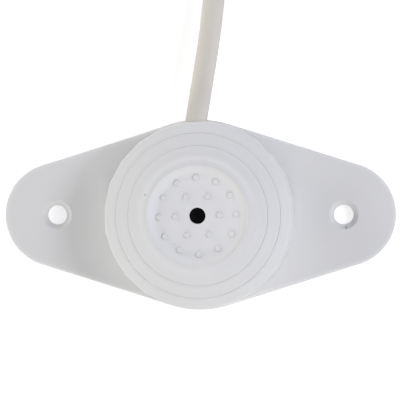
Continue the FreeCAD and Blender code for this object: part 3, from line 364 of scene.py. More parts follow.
# %% Group: speck
def make_speck():
    group, given, result = new_group(
        "ShaderNodeTree",
        "speck",
        [("Vector", "Position", None), ("Vector", "Middle", None), ("Float", "Radius", 0.2 * MM)],
        [("Float", "Mask", None)],
    )
    level = vector_node(group, "MULTIPLY", given["Position"], (1, 1, 0))[0]
    distance = vector_node(group, "DISTANCE", level, given["Middle"])["Value"]
    share = math_node(group, "DIVIDE", distance, given["Radius"])
    # Full inside four tenths of the radius, and gone a little outside it
    soft = {"interpolation_type": "SMOOTHSTEP"}
    spot = add(group, "ShaderNodeMapRange", soft, i0=share, i1=0.4, i2=1.3, i3=1.0, i4=0.0)
    group.links.new(spot.outputs[0], result["Mask"])
    return group


SPECK = make_speck()
print("group", SPECK.name)

# %% [markdown]
# ## Shared effect: drawn streaks
# A cable's jacket is drawn through a die, which leaves faint streaks along its length. Stretched
# noise on Object coordinates would run across the cable where it turns. The curve's own UV map
# follows it: u runs along, v runs round. Round the cable the noise is read on a circle, so that
# it closes without a seam.

# %% Group: drawn streaks
def make_drawn_streaks():
    group, given, result = new_group(
        "ShaderNodeTree",
        "drawn_streaks",
        [
            ("Vector", "UV", None),
            ("Float", "Streaks round", 2.0),
            ("Float", "Streaks along", 12.0),
            ("Float", "Strength", 0.08),
        ],
        [("Float", "Brightness", None), ("Float", "Height", None)],
    )
    parts = add(group, "ShaderNodeSeparateXYZ", None, i0=given["UV"]).outputs
    angle = math_node(group, "MULTIPLY", parts[1], 2 * math.pi)
    places = [
        math_node(group, "MULTIPLY", math_node(group, way, angle), given["Streaks round"])
        for way in ("COSINE", "SINE")
    ]
    along = math_node(group, "MULTIPLY", parts[0], given["Streaks along"])
    streak = noise(group, combined(group, X=places[0], Y=places[1], Z=along), 1.0, 3.0)
    off_middle = math_node(group, "SUBTRACT", streak, 0.5)
    swing = math_node(group, "MULTIPLY", off_middle, given["Strength"])
    group.links.new(math_node(group, "ADD", swing, 1.0), result["Brightness"])
    group.links.new(streak, result["Height"])
    return group


DRAWN_STREAKS = make_drawn_streaks()
print("group", DRAWN_STREAKS.name)

# %% [markdown]
# ## Shared effect: studs in a ring
# The cap's disc carries eighteen small studs, in rings of twelve and six. Their tops get a touch of
# painted shade, and a soft dark line of painted shade goes round the foot of each. Eighteen spots
# could be placed one by one, but a ring has one rule: fold the angle into a single pitch, and every
# stud is the same stud. The group gives the distance to the nearest stud's axis.

# %% Group: distance to a ring of studs
def make_stud_distance():
    group, given, result = new_group(
        "ShaderNodeTree",
        "stud_distance",
        [
            ("Vector", "Position", None),
            ("Float", "Ring radius", 7.75 * MM),
            ("Float", "Studs", 12.0),
            ("Float", "Turn", 0.0),
        ],
        [("Float", "Distance", None)],
    )
    level = vector_node(group, "MULTIPLY", given["Position"], (1, 1, 0))[0]
    reach = vector_node(group, "LENGTH", level)["Value"]
    parts = add(group, "ShaderNodeSeparateXYZ", None, i0=level).outputs
    angle = math_node(group, "ARCTAN2", parts[1], parts[0])
    pitch = math_node(group, "DIVIDE", 2 * math.pi, given["Studs"])
    turned = math_node(group, "SUBTRACT", angle, given["Turn"])
    count = math_node(group, "DIVIDE", turned, pitch)
    off = math_node(group, "SUBTRACT", count, math_node(group, "ROUND", count))
    off = math_node(group, "MULTIPLY", off, pitch)
    x = math_node(group, "MULTIPLY", reach, math_node(group, "COSINE", off))
    x = math_node(group, "SUBTRACT", x, given["Ring radius"])
    y = math_node(group, "MULTIPLY", reach, math_node(group, "SINE", off))
    gap = vector_node(group, "LENGTH", combined(group, X=x, Y=y))["Value"]
    group.links.new(gap, result["Distance"])
    return group


STUD_DISTANCE = make_stud_distance()
print("group", STUD_DISTANCE.name)

# %% [markdown]
# ## Shared effect: soft rim
# At the outer edge of plate and cap the moulding pulls in a little, so the last millimetre leans
# outwards; it is also painted lighter, as painted light. A wide bevel on the solid would do the
# lean too, but the real edge is a slow roll rather than a bevel. The group turns the distance to
# the rim into a brightness of painted light and a height.

# %% Group: soft rim
def make_soft_rim():
    group, given, result = new_group(
        "ShaderNodeTree",
        "soft_rim",
        [
            ("Float", "Distance", None),
            ("Float", "Width", 1.0 * MM),
            ("Float", "Lighter", 0.04),
            ("Float", "Depth", 0.12 * MM),
        ],
        [("Float", "Brightness", None), ("Float", "Height", None)],
    )
    share = math_node(group, "DIVIDE", given["Distance"], given["Width"])
    inward = stretched(group, share, 0.0, 1.0, 1.0, 0.0)
    roll = math_node(group, "POWER", inward, 2.0)
    # Painted light: the last millimetre is made lighter
    painted_light = math_node(group, "MULTIPLY", roll, given["Lighter"])
    group.links.new(math_node(group, "ADD", painted_light, 1.0), result["Brightness"])
    drop = math_node(group, "MULTIPLY", roll, given["Depth"])
    group.links.new(math_node(group, "MULTIPLY", drop, -1.0), result["Height"])
    return group


SOFT_RIM = make_soft_rim()
print("group", SOFT_RIM.name)

# %% [markdown]
# ## Material tools
# Every finish starts from a Principled shader, because it covers plastic, rubber and metal with
# the same few sockets. A plain number, such as the specular level, is set on the socket itself.
# What varies is joined by wires. Patterns read Object coordinates, which stay put in any view.

# %% Material helpers
def new_material(name, colour, roughness, **plain):
    """A Principled material; colour and roughness are plain until nodes are joined to them."""
    material = bpy.data.materials.new(name)
    material.use_nodes = True
    tree = material.node_tree
    shader = tree.nodes["Principled BSDF"]
    shader.inputs["Base Color"].default_value = (*colour, 1.0)
    shader.inputs["Roughness"].default_value = roughness
    for title, value in plain.items():
        shader.inputs[title.replace("_", " ")].default_value = value
    place = tree.nodes.new("ShaderNodeTexCoord").outputs
    material.diffuse_color = (*colour, 1.0)
    return material, tree, shader, place


def use_group(tree, group, **values):
    return add(tree, "ShaderNodeGroup", {"node_tree": group}, **values).outputs


def mixed(tree, share, first, second, way="MIX"):
    """Two colours mixed. Each is a colour or a socket."""
    node = add(tree, "ShaderNodeMix", {"data_type": "RGBA", "blend_type": way})
    for index, value in ((0, share), (6, first), (7, second)):
        if isinstance(value, bpy.types.NodeSocket):
            tree.links.new(value, node.inputs[index])
        else:
            node.inputs[index].default_value = value if index == 0 else (*value, 1.0)
    return node.outputs[2]


def tinted(tree, colour, brightness):
    """colour, made lighter or darker by a brightness that varies over the surface."""
    return mixed(tree, 1.0, colour, brightness, "MULTIPLY")


def bump(tree, height, strength, distance, **under):
    """A bumped normal, on top of another one where that is given as Normal."""
    values = {"Strength": strength, "Distance": distance, "Height": height, **under}
    return add(tree, "ShaderNodeBump", None, **values).outputs["Normal"]


def join(tree, shader, **wires):
    for title, socket in wires.items():
        tree.links.new(socket, shader.inputs[title.replace("_", " ")])


def dress(material, *names):
    """Gives a finish to pieces of the frame."""
    for name in names:
        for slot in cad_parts[name].material_slots:
            slot.material = material


print("material helpers ready")

# %% [markdown]
# ## The off-white plastic
# Plate and cap are moulded in the same matt off-white plastic, with next to no gloss. The cap is
# a touch lighter than the plate. The colour alone would do from afar, but the grain group gives
# the soft unevenness of real moulding, and the specks sit where the photograph shows them.

# %% Plastic
PLATE_COLOUR = (0.70, 0.70, 0.70)
CAP_COLOUR = (0.735, 0.735, 0.735)
SPECK_COLOUR = (0.05, 0.045, 0.04)
PLASTIC_ROUGHNESS = 0.55
PLASTIC_GLOSS = 0.22
GRAIN_DEPTH = 0.02 * MM
# Middle, radius and depth of colour of each mark
CAP_SPECKS = [((-10.43, 4.25), 0.25, 0.35), ((-4.63, -5.63), 0.25, 0.12)]
PLATE_SPECKS = [((29.83, -2.63), 0.30, 0.45)]


def make_plastic(name, colour, specks, rim_distance, rim_sizes, tone=None):
    """Matt moulded plastic. Helpers give the distance to its rim, and, where given, a brightness of
    painted light and shade.
    """
    material, tree, shader, place = new_material(
        name, colour, PLASTIC_ROUGHNESS, Specular_IOR_Level=PLASTIC_GLOSS
    )
    where = place["Object"]
    grain = use_group(tree, MOULDED_GRAIN, Position=where, Roughness=PLASTIC_ROUGHNESS)
    rim = use_group(tree, SOFT_RIM, Distance=rim_distance(tree, where), **rim_sizes)
    shade = tinted(tree, colour, grain["Brightness"])
    # Painted light along the rim
    shade = tinted(tree, shade, rim["Brightness"])
    # Painted light and shade, where given
    if tone:
        shade = tinted(tree, shade, tone(tree, where))
    for (x, y), radius, depth in specks:
        spot = {"Middle": (x * MM, y * MM, 0.0), "Radius": radius * MM}
        mask = use_group(tree, SPECK, Position=where, **spot)["Mask"]
        shade = mixed(tree, math_node(tree, "MULTIPLY", mask, depth), shade, SPECK_COLOUR)
    # The rim's height is in metres already, so its bump takes it as it is
    rolled = bump(tree, rim["Height"], 1.0, 1.0)
    normal = bump(tree, grain["Height"], 0.15, GRAIN_DEPTH, Normal=rolled)
    join(tree, shader, Base_Color=shade, Roughness=grain["Roughness"], Normal=normal)
    return material


print("plastic helper ready")

# %% [markdown]
# ## The plate's rim
# The plate's outline is a wide circle and two small ones with straight flanks between them. The
# distance to it could be stored on the mesh, but the outline is simple enough to work out: the
# same sum serves all four quarters, and which of the three stretches counts is told by how far
# along the flank a point lies. Nodes have no branches, so each further stretch is mixed in with
# a share of 0 or 1.

# %% Plate
WAIST_RADIUS = 19.45 * MM
END_RADIUS = 10.65 * MM
END_MIDDLE = 29.35 * MM
# Lighter is the painted light on the plate's rim
PLATE_RIM = {"Width": 1.3 * MM, "Lighter": 0.13, "Depth": 0.12 * MM}


def plate_rim_distance(tree, place):
    """Distance to the plate's outline, by the flank's outward direction (across, up)."""
    across = (WAIST_RADIUS - END_RADIUS) / END_MIDDLE
    up = math.sqrt(1 - across * across)
    level = vector_node(tree, "MULTIPLY", place, (1, 1, 0))[0]
    quarter = vector_node(tree, "ABSOLUTE", level)[0]
    out = vector_node(tree, "DOT_PRODUCT", quarter, (across, up, 0))["Value"]
    along = vector_node(tree, "DOT_PRODUCT", quarter, (up, -across, 0))["Value"]
    from_middle = vector_node(tree, "LENGTH", quarter)["Value"]
    from_end = vector_node(tree, "DISTANCE", quarter, (END_MIDDLE, 0, 0))["Value"]
    reaches = ((WAIST_RADIUS, from_middle), (WAIST_RADIUS, out), (END_RADIUS, from_end))
    distances = [math_node(tree, "SUBTRACT", radius, reach) for radius, reach in reaches]
    past_waist = math_node(tree, "GREATER_THAN", along, 0.0)
    past_flank = math_node(tree, "GREATER_THAN", along, END_MIDDLE * up)
    distance = distances[0]
    for share, further in ((past_waist, distances[1]), (past_flank, distances[2])):
        mix = add(tree, "ShaderNodeMix", None, i0=share, i2=distance, i3=further)
        distance = mix.outputs[0]
    return distance


plate_plastic = make_plastic(
    "plate_plastic", PLATE_COLOUR, PLATE_SPECKS, plate_rim_distance, PLATE_RIM
)
dress(plate_plastic, "base_plate", "cable_clamp")
print("plastic on plate and clamp")

# %% [markdown]
# ## Rings of the cap
# Light and shade are painted on the cap in rings: painted light makes the dished disc the lightest
# and a thin ring on the terrace lighter, painted shade makes the corner under the collar the
# darkest, and each groove is a thin painted dark line of shade with a painted highlight on its lip.
# The rings could be faces with materials of their own, but their edges would be hard. A ramp over
# the distance from the cap's axis keeps them soft.

# %% Ring tones
# Radius in mm and brightness of the painted light and shade there, from the disc's middle out past
# the terrace
PAINTED_RING_SHADING = [
    (0.0, 1.035),
    (3.5, 1.04),
    (5.6, 1.055),
    (7.0, 1.075),
    (8.4, 1.085),
    (9.2, 1.06),
    (9.7, 1.025),
    (10.2, 0.98),
    (10.7, 0.998),
    (11.1, 1.025),
    (11.5, 1.055),
    (12.0, 1.025),
    (12.5, 0.992),
]
GROOVE_RADII = (14.5, 17.05)
# Distance outwards from a groove's middle in mm, and brightness there: painted shade in the groove,
# a painted highlight on its outer lip
PAINTED_GROOVE_SHADING = [(-0.35, 1.0), (-0.1, 0.985), (0.1, 0.985), (0.4, 1.012), (0.9, 1.0)]
RING_REACH = 20.0


def cap_reach(tree, place):
    """Distance from the cap's axis."""
    level = vector_node(tree, "MULTIPLY", place, (1, 1, 0))[0]
    return vector_node(tree, "LENGTH", level)["Value"]


def painted_ring_shading(tree, place):
    """Painted light and shade by the distance from the cap's axis."""
    tones = list(PAINTED_RING_SHADING)
    for middle in GROOVE_RADII:
        tones += [(middle + off, tone) for off, tone in PAINTED_GROOVE_SHADING]
    share = math_node(tree, "DIVIDE", cap_reach(tree, place), RING_REACH * MM)
    ramp = add(tree, "ShaderNodeValToRGB", None, i0=share)
    stops = ramp.color_ramp.elements
    while len(stops) < len(tones):
        stops.new(1.0)
    for stop, (radius, tone) in zip(stops, tones):
        stop.position = radius / RING_REACH
        # A ramp's colours stop at 1, so they are kept at half and doubled below
        stop.color = (tone / 2, tone / 2, tone / 2, 1.0)
    return math_node(tree, "MULTIPLY", ramp.outputs["Color"], 2.0)


print(len(PAINTED_RING_SHADING) + len(GROOVE_RADII) * len(PAINTED_GROOVE_SHADING), "tones in rings")

# %% [markdown]
# ## Studs of the cap
# Painted shade on the tops of the studs and in lines round their feet is placed by the distance to
# the nearest stud. Each ring could have a mask of its own, but then the two masks would have to be
# added up. The smaller of the two distances is the right one everywhere, so one pair of painted
# shades serves all the studs.

# %% Stud tones
CAP_TURN = math.radians(2.1)
# Radius of each ring and number of its studs
STUD_RINGS = ((7.75, 12.0), (4.42, 6.0))
# Where a stud's top ends and the plain disc starts, from the stud's axis
STUD_TOP_END = 0.5
STUD_END = 0.75
# Brightness of the painted shade on a stud's top, and of the painted shade line round its foot
STUD_TOP_PAINTED_SHADE = 0.97
STUD_FOOT = 0.6
STUD_FOOT_WIDTH = 0.22
STUD_FOOT_PAINTED_SHADE = 0.86


def painted_stud_shade(tree, place):
    """Painted shade by the distance from the nearest stud's axis."""
    gaps = []
    for radius, number in STUD_RINGS:
        ring = {"Ring_radius": radius * MM, "Studs": number, "Turn": CAP_TURN}
        gaps.append(use_group(tree, STUD_DISTANCE, Position=place, **ring)["Distance"])
    gap = math_node(tree, "MINIMUM", *gaps)
    top = stretched(tree, gap, STUD_TOP_END * MM, STUD_END * MM, STUD_TOP_PAINTED_SHADE, 1.0)
    off_foot = math_node(tree, "ABSOLUTE", math_node(tree, "SUBTRACT", gap, STUD_FOOT * MM))
    foot = stretched(tree, off_foot, 0.0, STUD_FOOT_WIDTH * MM, STUD_FOOT_PAINTED_SHADE, 1.0)
    return math_node(tree, "MULTIPLY", top, foot)


print(sum(int(number) for _, number in STUD_RINGS), "studs toned")

# %% [markdown]
# ## The cap's plastic
# The cap's wall has 24 short flats. The distance to each of them could be worked out, as for the
# plate's flanks, but a flat leaves the circle by less than a fifth of a millimetre, and the painted
# light on the rim is only faint. So one subtraction, from the radius of the circle, is enough. The
# painted light and shade of the rings and of the studs are multiplied together.

# %% Cap
CAP_RIM_RADIUS = 18.95
# Lighter is the painted light on the cap's rim
CAP_RIM = {"Width": 1.1 * MM, "Lighter": 0.02, "Depth": 0.12 * MM}


def cap_rim_distance(tree, place):
    return math_node(tree, "SUBTRACT", CAP_RIM_RADIUS * MM, cap_reach(tree, place))


def cap_painted_shading(tree, place):
    return math_node(tree, "MULTIPLY", painted_ring_shading(tree, place), painted_stud_shade(tree, place))


cap_plastic = make_plastic(
    "cap_plastic", CAP_COLOUR, CAP_SPECKS, cap_rim_distance, CAP_RIM, cap_painted_shading
)
dress(cap_plastic, "front_cap")
print("plastic on the cap")

# %% [markdown]
# ## The cable's jacket
# The jacket is soft, matt, warm grey plastic. A flat colour would make the cable look like drawn
# line work, because it is seen close up and lit from the side. So it takes the streaks from its
# UV map and the grain from its place.

# %% Jacket
JACKET_COLOUR = (0.676, 0.646, 0.59)
JACKET_ROUGHNESS = 0.58
JACKET_GLOSS = 0.35
STREAK_DEPTH = 0.05 * MM


def make_jacket():
    material, tree, shader, place = new_material(
        "cable_jacket", JACKET_COLOUR, JACKET_ROUGHNESS, Specular_IOR_Level=JACKET_GLOSS
    )
    cloud = {"Cloud_scale": 160.0, "Cloud_strength": 0.04, "Roughness": JACKET_ROUGHNESS}
    grain = use_group(tree, MOULDED_GRAIN, Position=place["Object"], **cloud)
    streaks = use_group(tree, DRAWN_STREAKS, UV=place["UV"])
    shade = tinted(tree, JACKET_COLOUR, grain["Brightness"])
    shade = tinted(tree, shade, streaks["Brightness"])
    normal = bump(tree, streaks["Height"], 0.2, STREAK_DEPTH)
    join(tree, shader, Base_Color=shade, Roughness=grain["Roughness"], Normal=normal)
    return material


cable_jacket = make_jacket()
cable_line.data.materials.append(cable_jacket)
dress(cable_jacket, "cable", "cable_coil", "cable_tail")
print("jacket finished")

# %% [markdown]
# ## The cores
# The insulation of a core is thin, hard plastic, smoother and a little glossier than the jacket.
# The three could share one material with the colour on the object, but the export reads one
# finish for each slot. Instead one function makes all three, each with its own colour.

# %% Cores
CORE_COLOURS = {
    "power": (0.42, 0.02, 0.02),
    "audio": (0.72, 0.71, 0.68),
    "ground": (0.012, 0.012, 0.013),
}
INSULATION_ROUGHNESS = 0.42


def make_insulation(name, colour):
    material, tree, shader, place = new_material(name, colour, INSULATION_ROUGHNESS)
    cloud = {"Cloud_scale": 400.0, "Cloud_strength": 0.1, "Roughness": INSULATION_ROUGHNESS}
    grain = use_group(tree, MOULDED_GRAIN, Position=place["Object"], **cloud)
    shade = tinted(tree, colour, grain["Brightness"])
    join(tree, shader, Base_Color=shade, Roughness=grain["Roughness"])
    return material


for name, lead in leads.items():
    insulation = make_insulation(f"{name}_insulation", CORE_COLOURS[name])
    lead.data.materials.append(insulation)
    dress(insulation, f"{name}_wire", f"{name}_lead")
print("cores finished")

# %% [markdown]
# ## Metals
# Screws, the capsule's can, its pins, the capacitor cans and the tinned copper are bare metal.
# A perfect metal is a mirror, which only shows the light. Small parts in daily use have a dull,
# mottled face, so a fine noise moves both their brightness and their roughness.

# %% Metals
MOTTLE_SCALE = 900.0


def make_metal(name, colour, roughness):
    material, tree, shader, place = new_material(name, colour, roughness, Metallic=1.0)
    mottle = noise(tree, place["Object"], MOTTLE_SCALE, 3.0)
    bright = stretched(tree, mottle, 0.3, 0.7, 0.9, 1.05)
    rough = stretched(tree, mottle, 0.3, 0.7, roughness * 0.8, roughness * 1.25)
    join(tree, shader, Base_Color=tinted(tree, colour, bright), Roughness=rough)
    return material


tinned_copper = make_metal("tinned_copper", (0.62, 0.60, 0.56), 0.35)
dress(tinned_copper, *(f"{name}_lead_tip" for name in CORES))
dress(make_metal("screw_steel", (0.60, 0.60, 0.62), 0.3), "board_screws", "clamp_screws")
dress(make_metal("capsule_metal", (0.78, 0.78, 0.79), 0.28), "capsule_can")
dress(make_metal("pin_metal", (0.80, 0.66, 0.38), 0.3), "capsule_pins")
CANS = [f"electrolytic_capacitor_{number}" for number in (1, 2, 3)]
dress(make_metal("can_metal", (0.75, 0.75, 0.77), 0.22), *CANS)
print("metals done")

# %% [markdown]
# ## Felt, rubber, lacquer and glaze
# Most of these pieces sit inside, behind the sound hole and under the cap. Only the felt shows,
# as the black ground of the hole, and the ribbon that ties the coil. They could be left plain,
# but a part is also looked at opened, so each has its own colour, gloss and depth of grain from
# the same group.

# %% Inner finishes
def make_plain(name, colour, roughness, cloud=0.1, cloud_scale=500.0, depth=0.1, gloss=0.5):
    material, tree, shader, place = new_material(
        name, colour, roughness, Specular_IOR_Level=gloss
    )
    values = {"Cloud_scale": cloud_scale, "Cloud_strength": cloud, "Roughness": roughness}
    grain = use_group(tree, MOULDED_GRAIN, Position=place["Object"], **values)
    shade = tinted(tree, colour, grain["Brightness"])
    normal = bump(tree, grain["Height"], depth, GRAIN_DEPTH)
    join(tree, shader, Base_Color=shade, Roughness=grain["Roughness"], Normal=normal)
    return material


CERAMICS = [f"ceramic_capacitor_{number}" for number in range(1, 5)]
RESISTORS = [f"resistor_{number}" for number in range(1, 7)]
CHIPS = ("preamp_chip", "voltage_regulator", "protection_diode")
fuzz = {"cloud": 0.3, "cloud_scale": 2500.0, "depth": 0.8, "gloss": 0.1}
dress(make_plain("felt", (0.006, 0.006, 0.006), 0.95, **fuzz), "capsule_felt")
dress(make_plain("soft_rubber", (0.02, 0.02, 0.02), 0.6), "capsule_boot")
dress(make_plain("board_lacquer", (0.015, 0.14, 0.05), 0.3), "circuit_board", "capsule_board")
dress(make_plain("chip_moulding", (0.02, 0.02, 0.022), 0.5), *CHIPS)
dress(make_plain("ceramic", (0.38, 0.27, 0.16), 0.4), *CERAMICS)
dress(make_plain("resistor_glaze", (0.03, 0.03, 0.03), 0.2), *RESISTORS)
tie_ribbon = make_plain("tie_ribbon", (0.02, 0.02, 0.02), 0.4, depth=0.3)
dress(tie_ribbon, "coil_tie")
print("inner pieces done")

# %% [markdown]
# ## Twisted strands
# Each core ends in five millimetres of bare stranded copper, twisted and tinned: six strands
# round a seventh. The ends of the tie's ribbon are twisted on each other in the same way. The
# strands could be drawn one by one, but they follow one rule: the same line, copied, with each
# copy turned on by its share of a circle and wound along the length. Geometry Nodes state that
# rule once, with the lay (the length of one full turn) as an input.

# %% Tree: twisted strands
POINTS_PER_STRAND = 26
SIDES_PER_STRAND = 8


def make_twisted_strands():
    tree, given, result = new_group(
        "GeometryNodeTree",
        "twisted_strands",
        [
            ("Vector", "Start", None),
            ("Vector", "Direction", (0, 0, 1)),
            ("Float", "Length", 5 * MM),
            ("Float", "Strand radius", 0.13 * MM),
            ("Float", "Reach", 0.26 * MM),
            ("Float", "Lay", 7 * MM),
            ("Int", "Strands round", 6),
            ("Material", "Finish", None),
        ],
        [("Geometry", "Geometry", None)],
    )
    straight = {"Start": given["Start"], "Direction": given["Direction"]}
    kind = "GeometryNodeCurvePrimitiveLine"
    line = add(tree, kind, {"mode": "DIRECTION"}, Length=given["Length"], **straight)
    even = {"Curve": line.outputs[0], "Count": POINTS_PER_STRAND}
    core = add(tree, "GeometryNodeResampleCurve", None, **even).outputs[0]
    values = {"Geometry": core, "Amount": given["Strands round"]}
    copies = add(tree, "GeometryNodeDuplicateElements", {"domain": "SPLINE"}, **values).outputs
    # Turn of each point about the line, in full turns and then in radians
    along = add(tree, "GeometryNodeSplineParameter").outputs["Length"]
    wound = math_node(tree, "DIVIDE", along, given["Lay"])
    share = math_node(tree, "DIVIDE", copies["Duplicate Index"], given["Strands round"])
    angle = math_node(tree, "MULTIPLY", math_node(tree, "ADD", wound, share), 2 * math.pi)
    # The point moves out from the line, sideways and up
    cosine, sine = (math_node(tree, way, angle) for way in ("COSINE", "SINE"))
    sideways = vector_node(tree, "CROSS_PRODUCT", given["Direction"], (0, 0, 1))[0]
    aside = math_node(tree, "MULTIPLY", cosine, given["Reach"])
    level = {"Scale": aside, "i0": sideways}
    across = add(tree, "ShaderNodeVectorMath", {"operation": "SCALE"}, **level).outputs[0]
    upward = combined(tree, Z=math_node(tree, "MULTIPLY", sine, given["Reach"]))
    offset = vector_node(tree, "ADD", across, upward)[0]
    moved = {"Geometry": copies["Geometry"], "Offset": offset}
    strands = add(tree, "GeometryNodeSetPosition", None, **moved).outputs[0]
    # Each line becomes a closed round wire
    lines = tree.nodes.new("GeometryNodeJoinGeometry")
    tree.links.new(strands, lines.inputs[0])
    tree.links.new(core, lines.inputs[0])
    section = {"Resolution": SIDES_PER_STRAND, "Radius": given["Strand radius"]}
    ring = add(tree, "GeometryNodeCurvePrimitiveCircle", {"mode": "RADIUS"}, **section)
    sweep = {"Curve": lines.outputs[0], "Profile_Curve": ring.outputs[0], "Fill_Caps": True}
    wires = add(tree, "GeometryNodeCurveToMesh", None, **sweep).outputs[0]
    solid = add(tree, "GeometryNodeRealizeInstances", None, Geometry=wires).outputs[0]
    smooth = add(tree, "GeometryNodeSetShadeSmooth", None, Geometry=solid).outputs[0]
    finish = {"Geometry": smooth, "Material": given["Finish"]}
    done = add(tree, "GeometryNodeSetMaterial", None, **finish).outputs[0]
    tree.links.new(done, result["Geometry"])
    return tree


TWISTED_STRANDS = make_twisted_strands()
print("tree", TWISTED_STRANDS.name, "with", len(TWISTED_STRANDS.nodes), "nodes")

# %% [markdown]
# ## From tree to mesh
# A tree makes nothing until a modifier runs it on an object. The modifier could stay, so that
# the sizes can be changed later, but what is handed on has to be a plain mesh. So the modifier
# gets its inputs, by each socket's identifier, the result is copied as a mesh, and the modifier
# goes again.

# %% From tree to mesh
def grow(name, tree, **values):
    """A plain mesh from a Geometry Nodes tree, with its inputs by name."""
    piece = bpy.data.objects.new(name, bpy.data.meshes.new(name))
    bpy.context.scene.collection.objects.link(piece)
    modifier = piece.modifiers.new(name, "NODES")
    modifier.node_group = tree
    for item in tree.interface.items_tree:
        title = item.name.replace(" ", "_")
        if item.item_type == "SOCKET" and item.in_out == "INPUT" and title in values:
            modifier[item.identifier] = values[title]
    seen = piece.evaluated_get(bpy.context.evaluated_depsgraph_get())
    mesh = bpy.data.meshes.new_from_object(seen)
    piece.modifiers.remove(modifier)
    piece.data = mesh
    return piece


print("trees can be grown into meshes")

# %% [markdown]
# ## Bare ends of the leads
# The solid tip of each lead is a plain rod. It could stay, because at this size the eye sees
# little more, but close up the twist is what makes it copper wire. Each bundle starts where its
# lead ends and goes on the way that the lead points. A strand is a third of the bundle wide.

# %% Lead strands
TIP_LENGTH = 5.0
TIP_DIAMETER = 0.8
STRAND_LAY = 6.5


def make_lead_strands(name):
    """The bare end of one lead."""
    before, last = (Vector(point) for point in lead_points(name)[-2:])
    return grow(
        f"{name}_lead_strands",
        TWISTED_STRANDS,
        Start=last * MM,
        Direction=(last - before).normalized(),
        Length=TIP_LENGTH * MM,
        Strand_radius=TIP_DIAMETER / 6 * MM,
        Reach=TIP_DIAMETER / 3 * MM,
        Lay=STRAND_LAY * MM,
        Finish=tinned_copper,
    )


lead_strands = {name: make_lead_strands(name) for name in CORES}
for name, strands in lead_strands.items():
    print(strands.name, len(strands.data.polygons), "faces")

# %% [markdown]
# ## The tie's twist
# The coil is held by a short ribbon that goes round all its turns, with its ends twisted on each
# other on top. The solid tie has a plain rod there. The turns of the twist could be modelled one
# by one, but the strands' tree already makes them, with fewer and thicker strands and a shorter
# lay. They lie over the rod, along the coil's upper turns.

# %% Tie twist
TIE_TURN = math.radians(60.0)
TIE_RADIUS = 25.0
TWIST_HEIGHT = 10.4
TWIST_LENGTH = 9.0
TWIST_WIRE_RADIUS = 0.32
TWIST_REACH = 0.62
TWIST_LAY = 4.0

across_coil = Vector((math.cos(TIE_TURN), math.sin(TIE_TURN), 0.0))
along_coil = Vector((-math.sin(TIE_TURN), math.cos(TIE_TURN), 0.0))
twist_start = Vector((*COIL_MIDDLE, TWIST_HEIGHT)) + TIE_RADIUS * across_coil
tie_twist = grow(
    "tie_twist",
    TWISTED_STRANDS,
    Start=twist_start * MM,
    Direction=along_coil,
    Length=TWIST_LENGTH * MM,
    Strand_radius=TWIST_WIRE_RADIUS * MM,
    Reach=TWIST_REACH * MM,
    Lay=TWIST_LAY * MM,
    Strands_round=2,
    Finish=tie_ribbon,
)
print(tie_twist.name, len(tie_twist.data.polygons), "faces")

# %% [markdown]
# ## Floor
# The microphone lies on a wide pale sheet. In the photograph everything behind it is white. More
# light would burn out the object too. Instead the sheet glows a little, and only for rays that
# come from the camera, a mirror or glass: it comes out white where the light falls on it, lights
# nothing, and still shows the object's soft shadow.

# %% Floor
FLOOR_HALF = 1.5
FLOOR_DROP = 0.02
FLOOR_GLOW = 0.45
PAPER_COLOUR = (0.85, 0.85, 0.85)
PAPER_ROUGHNESS = 0.8
PAPER_GLOSS = 0.2


def make_paper():
    """Pale paper that glows for rays from the camera, a mirror or glass."""
    material, tree, shader, _ = new_material(
        "floor_paper", PAPER_COLOUR, PAPER_ROUGHNESS, Specular_IOR_Level=PAPER_GLOSS
    )
    rays = tree.nodes.new("ShaderNodeLightPath").outputs
    seen = math_node(tree, "MAXIMUM", rays["Is Camera Ray"], rays["Is Glossy Ray"])
    seen = math_node(tree, "MAXIMUM", seen, rays["Is Transmission Ray"])
    glow = math_node(tree, "MULTIPLY", seen, FLOOR_GLOW)
    shader.inputs["Emission Color"].default_value = (1, 1, 1, 1)
    join(tree, shader, Emission_Strength=glow)
    return material


floor_mesh = bpy.data.meshes.new("floor")
corners = [(-1, -1), (1, -1), (1, 1), (-1, 1)]
corners = [(x * FLOOR_HALF, y * FLOOR_HALF, -FLOOR_DROP * MM) for x, y in corners]
floor_mesh.from_pydata(corners, [], [(0, 1, 2, 3)])
floor = bpy.data.objects.new("floor", floor_mesh)
bpy.context.scene.collection.objects.link(floor)
floor_mesh.materials.append(make_paper())
print("floor laid")

# %% [markdown]
# ## Light
# The photograph's light is soft, and comes from all round. A lit sky alone would leave hardly a
# shadow, and one lamp would leave it hard and dark. So a dim sky fills in, and lamps do the rest.

# %% Sky
SKY_STRENGTH = 0.205
world = bpy.data.worlds.new("soft_sky")
world.use_nodes = True
bpy.context.scene.world = world
sky = world.node_tree.nodes["Background"]
sky.inputs["Color"].default_value = (1, 1, 1, 1)
sky.inputs["Strength"].default_value = SKY_STRENGTH
bpy.context.scene.view_settings.view_transform = "Standard"
print("sky set")

# %% [markdown]
# ## Lamps
# One lamp straight above lights the flat faces. A second, high on the right, lays the cap's pale
# shadow on the plate, to its left. Low lamps all round brighten the cap's slopes and the cable's
# sides, each by its own strength. They could be spots, but wide squares keep the shadow's edge
# soft. Those on the right are a little cooler than those on the left, and all together they give
# a plain level, at which white doesn't burn out.

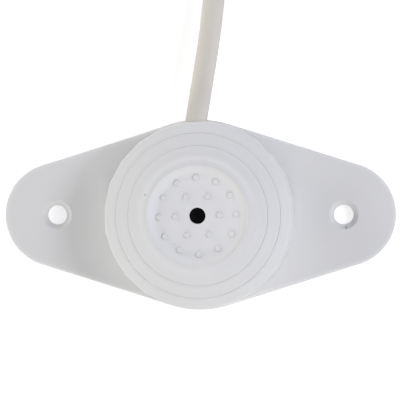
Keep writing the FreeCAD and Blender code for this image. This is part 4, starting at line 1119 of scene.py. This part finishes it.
# %% Lamps
LAMP_DISTANCE = 1.0
COOL = (0.88, 0.896, 1.0)
PALE = (0.947, 0.942, 1.0)
PLAIN = (1.0, 1.0, 1.0)
WARM = (1.0, 0.99, 0.94)
# Compass direction, 0 is +X and 90 is +Y; height above the floor in degrees; width; watts
LAMPS = {
    "overhead": (0, 90, 0.28, 2.07, PALE),
    "main": (12, 38, 0.3, 3.48, COOL),
    "right_rear": (40, 22, 0.4, 1.92, COOL),
    "left_rear": (147, 12, 0.35, 4.36, WARM),
    "left_front": (218, 12, 0.35, 2.62, WARM),
    "front": (270, 18, 0.3, 2.64, WARM),
    "right_front": (315, 18, 0.3, 1.0, PLAIN),
}


def add_lamp(name, compass, rise, width, power, colour):
    """A square lamp that faces the object."""
    turn, rise = math.radians(compass), math.radians(rise)
    level = math.cos(rise)
    back = Vector((math.cos(turn) * level, math.sin(turn) * level, math.sin(rise)))
    lamp = bpy.data.lights.new(name, "AREA")
    lamp.size = width
    lamp.energy = power
    lamp.color = colour
    holder = bpy.data.objects.new(name, lamp)
    holder.location = back * LAMP_DISTANCE
    holder.rotation_euler = aimed(back)
    bpy.context.scene.collection.objects.link(holder)


for name, lamp in LAMPS.items():
    add_lamp(name, *lamp)
print(len(LAMPS), "lamps set")

# %% [markdown]
# ## Riding on the body
# Nothing on the microphone moves, so every piece rides on its one body. The pieces could all be
# joined into one, but they are separate on the real thing. The solid cable and the solid lead tips,
# which the new pieces replace, are hidden.

# %% Riding
for piece in (cable_line, tie_twist, *leads.values(), *lead_strands.values()):
    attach(piece, "root")
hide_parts("cable", "cable_coil", "cable_tail")
for name, strands in lead_strands.items():
    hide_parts(f"{name}_lead_tip")
print("pieces ride on the body")

# %% [markdown]
# ## Cords
# A cable has no fixed shape: it could lie in many ways. What is fixed is its length, its thickness,
# how stiff it is and what is at its far end. The solid leads are hidden, because the leads' curves
# take their place.

# %% Cords
for name, lead in leads.items():
    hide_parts(f"{name}_lead")
print(1 + len(leads), "cords declared")
